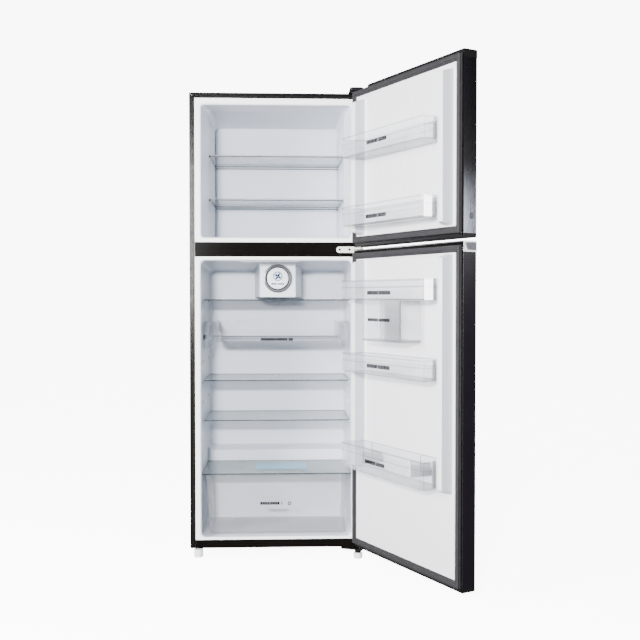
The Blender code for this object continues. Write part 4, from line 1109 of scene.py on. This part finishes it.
care_levels = [
    (care_low.z, 0.006), (care_low.z + 0.002, 0.003), (care_low.z + 0.008, 0.0018),
    (care_high.z - 0.010, 0.0010), (care_high.z - 0.008, 0.0), (care_high.z, 0.0),
    (care_high.z, 0.0028), (care_high.z - 0.010, 0.0034), (care_low.z + 0.008, 0.0040),
    (care_low.z + 0.003, 0.0080)]
care_rings = [care_ring(*level) for level in care_levels]
care = fit(solid("care_box_tub", care_rings, in_door), "care_box_body", "clear_plastic", clear_plastic,
           "care_box")
care.data.materials.append(bin_edge.material)
for face in care.data.polygons:
    level, side = divmod(face.index - 2, len(care_rings[0]))
    if face.index > 1 and (level in (0, 1, 5) or (level < 6 and side % 6 in (2, 3))):
        face.material_index = 1
line = bar("care_box_partition_edge", (-0.0064, 0.0772, care_low.z + 0.003),
           (-0.0044, 0.0784, care_high.z - 0.002), in_door)
fit(line, "care_box_body", "clear_plastic", bin_edge)
wall = bar("care_box_partition", (-0.0065, 0.002, care_low.z + 0.003),
           (-0.0047, 0.0772, care_high.z - 0.012), in_door)
fit(soften(wall, 0.0004, 1), "care_box_body", "clear_plastic", thin_wall)
MARK_ON_CARE = CARE_FRONT - 0.0014
mark_bars("care_box_mark", 0.064, ((0.0, 0.060), (0.002, 0.062)), 0.8350, 0.8450, MARK_ON_CARE,
          "care_box_body", lambda x, y, z: in_door(x, 2 * MARK_ON_CARE - y, z), -1)


# --- Lock, hinges and feet -----------------------------------------------------------------------
# The lock's plated cylinder sits in the free edge of the freezer door. The middle hinge is a steel
# plate in ivory paint, held by two screws. The feet are milky plastic with a fluted rim.
dress(bright_metal("lock_plating", (0.12, 0.12, 0.15), 0.30), "lock_cylinder")
dress(bright_metal("screw_steel", (0.060, 0.058, 0.055), 0.35), "hinge_screw_1", "hinge_screw_2")
ivory = painted("ivory_paint", (0.74, 0.73, 0.68), 0.35, 0.04)
dress(ivory, "middle_hinge")

foot_look = see_through("milky_foot_plastic", (0.86, 0.87, 0.87), 0.80, 0.95, 0.35)
for name in ("left", "right"):
    low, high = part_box("foot_" + name)
    middle_x, middle_y = (low.x + high.x) / 2 - CENTRE_X, (low.y + high.y) / 2 - FRONT_Y
    rim, collar = (high.x - low.x) / 2, 0.0195 if name == "right" else 0.0290
    levels = ((0.0130, 0.0, 0.0), (0.0150, 0.0015, 0.4), (rim, 0.0030, 1.0), (rim, collar - 0.0030, 1.0),
              (0.0148, collar - 0.0012, 0.4), (0.0120, collar, 0.0), (0.0048, collar + 0.0002, 0.0),
              (0.0048, high.z, 0.0))
    rings = []
    for radius, z, flute in levels:
        ring = []
        for i in range(96):
            angle = 2 * math.pi * i / 96
            reach = radius - 0.0007 * flute * (1 - abs(math.cos(8 * angle)))
            ring.append((middle_x + reach * math.cos(angle), middle_y + reach * math.sin(angle), z))
        rings.append(ring)
    fit(solid("levelling_foot_" + name, rings), name + "_foot", "frosted_plastic", foot_look, "foot_" + name)


# --- Floor, light and camera ---------------------------------------------------------------------
# A plain pale floor and backdrop. A soft light stands in front and slightly left, a tall narrow
# one by it for the cabinet's edge, a broad one further left, and a small one to the right.
floor_mesh = bpy.data.meshes.new("floor")
floor_mesh.from_pydata([(-30, -30, 0), (30, -30, 0), (30, 30, 0), (-30, 30, 0)], [], [(0, 1, 2, 3)])
floor = bpy.data.objects.new("floor", floor_mesh)
bpy.context.scene.collection.objects.link(floor)
floor_look = Finish("pale_floor", Base_Color=(0.80, 0.80, 0.80), Roughness=0.9, Emission_Strength=9.0,
                    Emission_Color=(1.0, 1.0, 1.0))
floor_mesh.materials.append(floor_look.material)

dome_mesh = bpy.data.meshes.new("backdrop")
dome_work = bmesh.new()
bmesh.ops.create_uvsphere(dome_work, u_segments=48, v_segments=24, radius=29.0)
dome_work.to_mesh(dome_mesh)
dome_work.free()
dome = bpy.data.objects.new("backdrop", dome_mesh)
bpy.context.scene.collection.objects.link(dome)
dome_look = Finish("pale_backdrop", Base_Color=(0.0, 0.0, 0.0), Specular_IOR_Level=0.0, Emission_Strength=9.0,
                   Emission_Color=(1.0, 1.0, 1.0))
dome_mesh.materials.append(dome_look.material)
for stage in (floor, dome):
    stage.visible_diffuse = stage.visible_glossy = False
dome.visible_shadow = False

world = bpy.data.worlds.new("surround")
world.use_nodes = True
world.node_tree.nodes["Background"].inputs["Color"].default_value = (0.90, 0.95, 1.0, 1.0)
world.node_tree.nodes["Background"].inputs["Strength"].default_value = 0.24
bpy.context.scene.world = world


def soft_light(name, place, target, size, power, in_gloss=True):
    data = bpy.data.lights.new(name, "AREA")
    data.shape = "RECTANGLE"
    data.size, data.size_y = size
    data.energy = power
    lamp = bpy.data.objects.new(name, data)
    lamp.location = in_cabinet(*place)
    lamp.rotation_euler = (in_cabinet(*target) - lamp.location).to_track_quat("-Z", "Y").to_euler()
    lamp.visible_glossy = in_gloss
    bpy.context.scene.collection.objects.link(lamp)


soft_light("key_light", (-0.45, -3.55, 1.38), (0.0, 0.0, 0.95), (0.34, 0.15), 310.0, False)
soft_light("left_light", (-3.1, -2.3, 1.5), (0.1, 0.0, 0.95), (1.4, 2.0), 440.0)
soft_light("flange_light", (-0.70, -3.50, 1.38), (-0.29, 0.0, 1.10), (0.13, 1.20), 30.0)
soft_light("right_light", (3.85, -2.00, 1.46), (0.56, -0.56, 1.15), (0.70, 0.46), 10.0)

camera_data = bpy.data.cameras.new("camera")
camera_data.lens = 51.24
camera_data.sensor_width = 36.0
camera = bpy.data.objects.new("camera", camera_data)
camera.location = in_cabinet(0.0206, -3.1656, 0.9079)
camera.rotation_euler = (math.pi / 2 - 0.0239, 0.0, -0.0413)
bpy.context.scene.collection.objects.link(camera)
bpy.context.scene.camera = camera
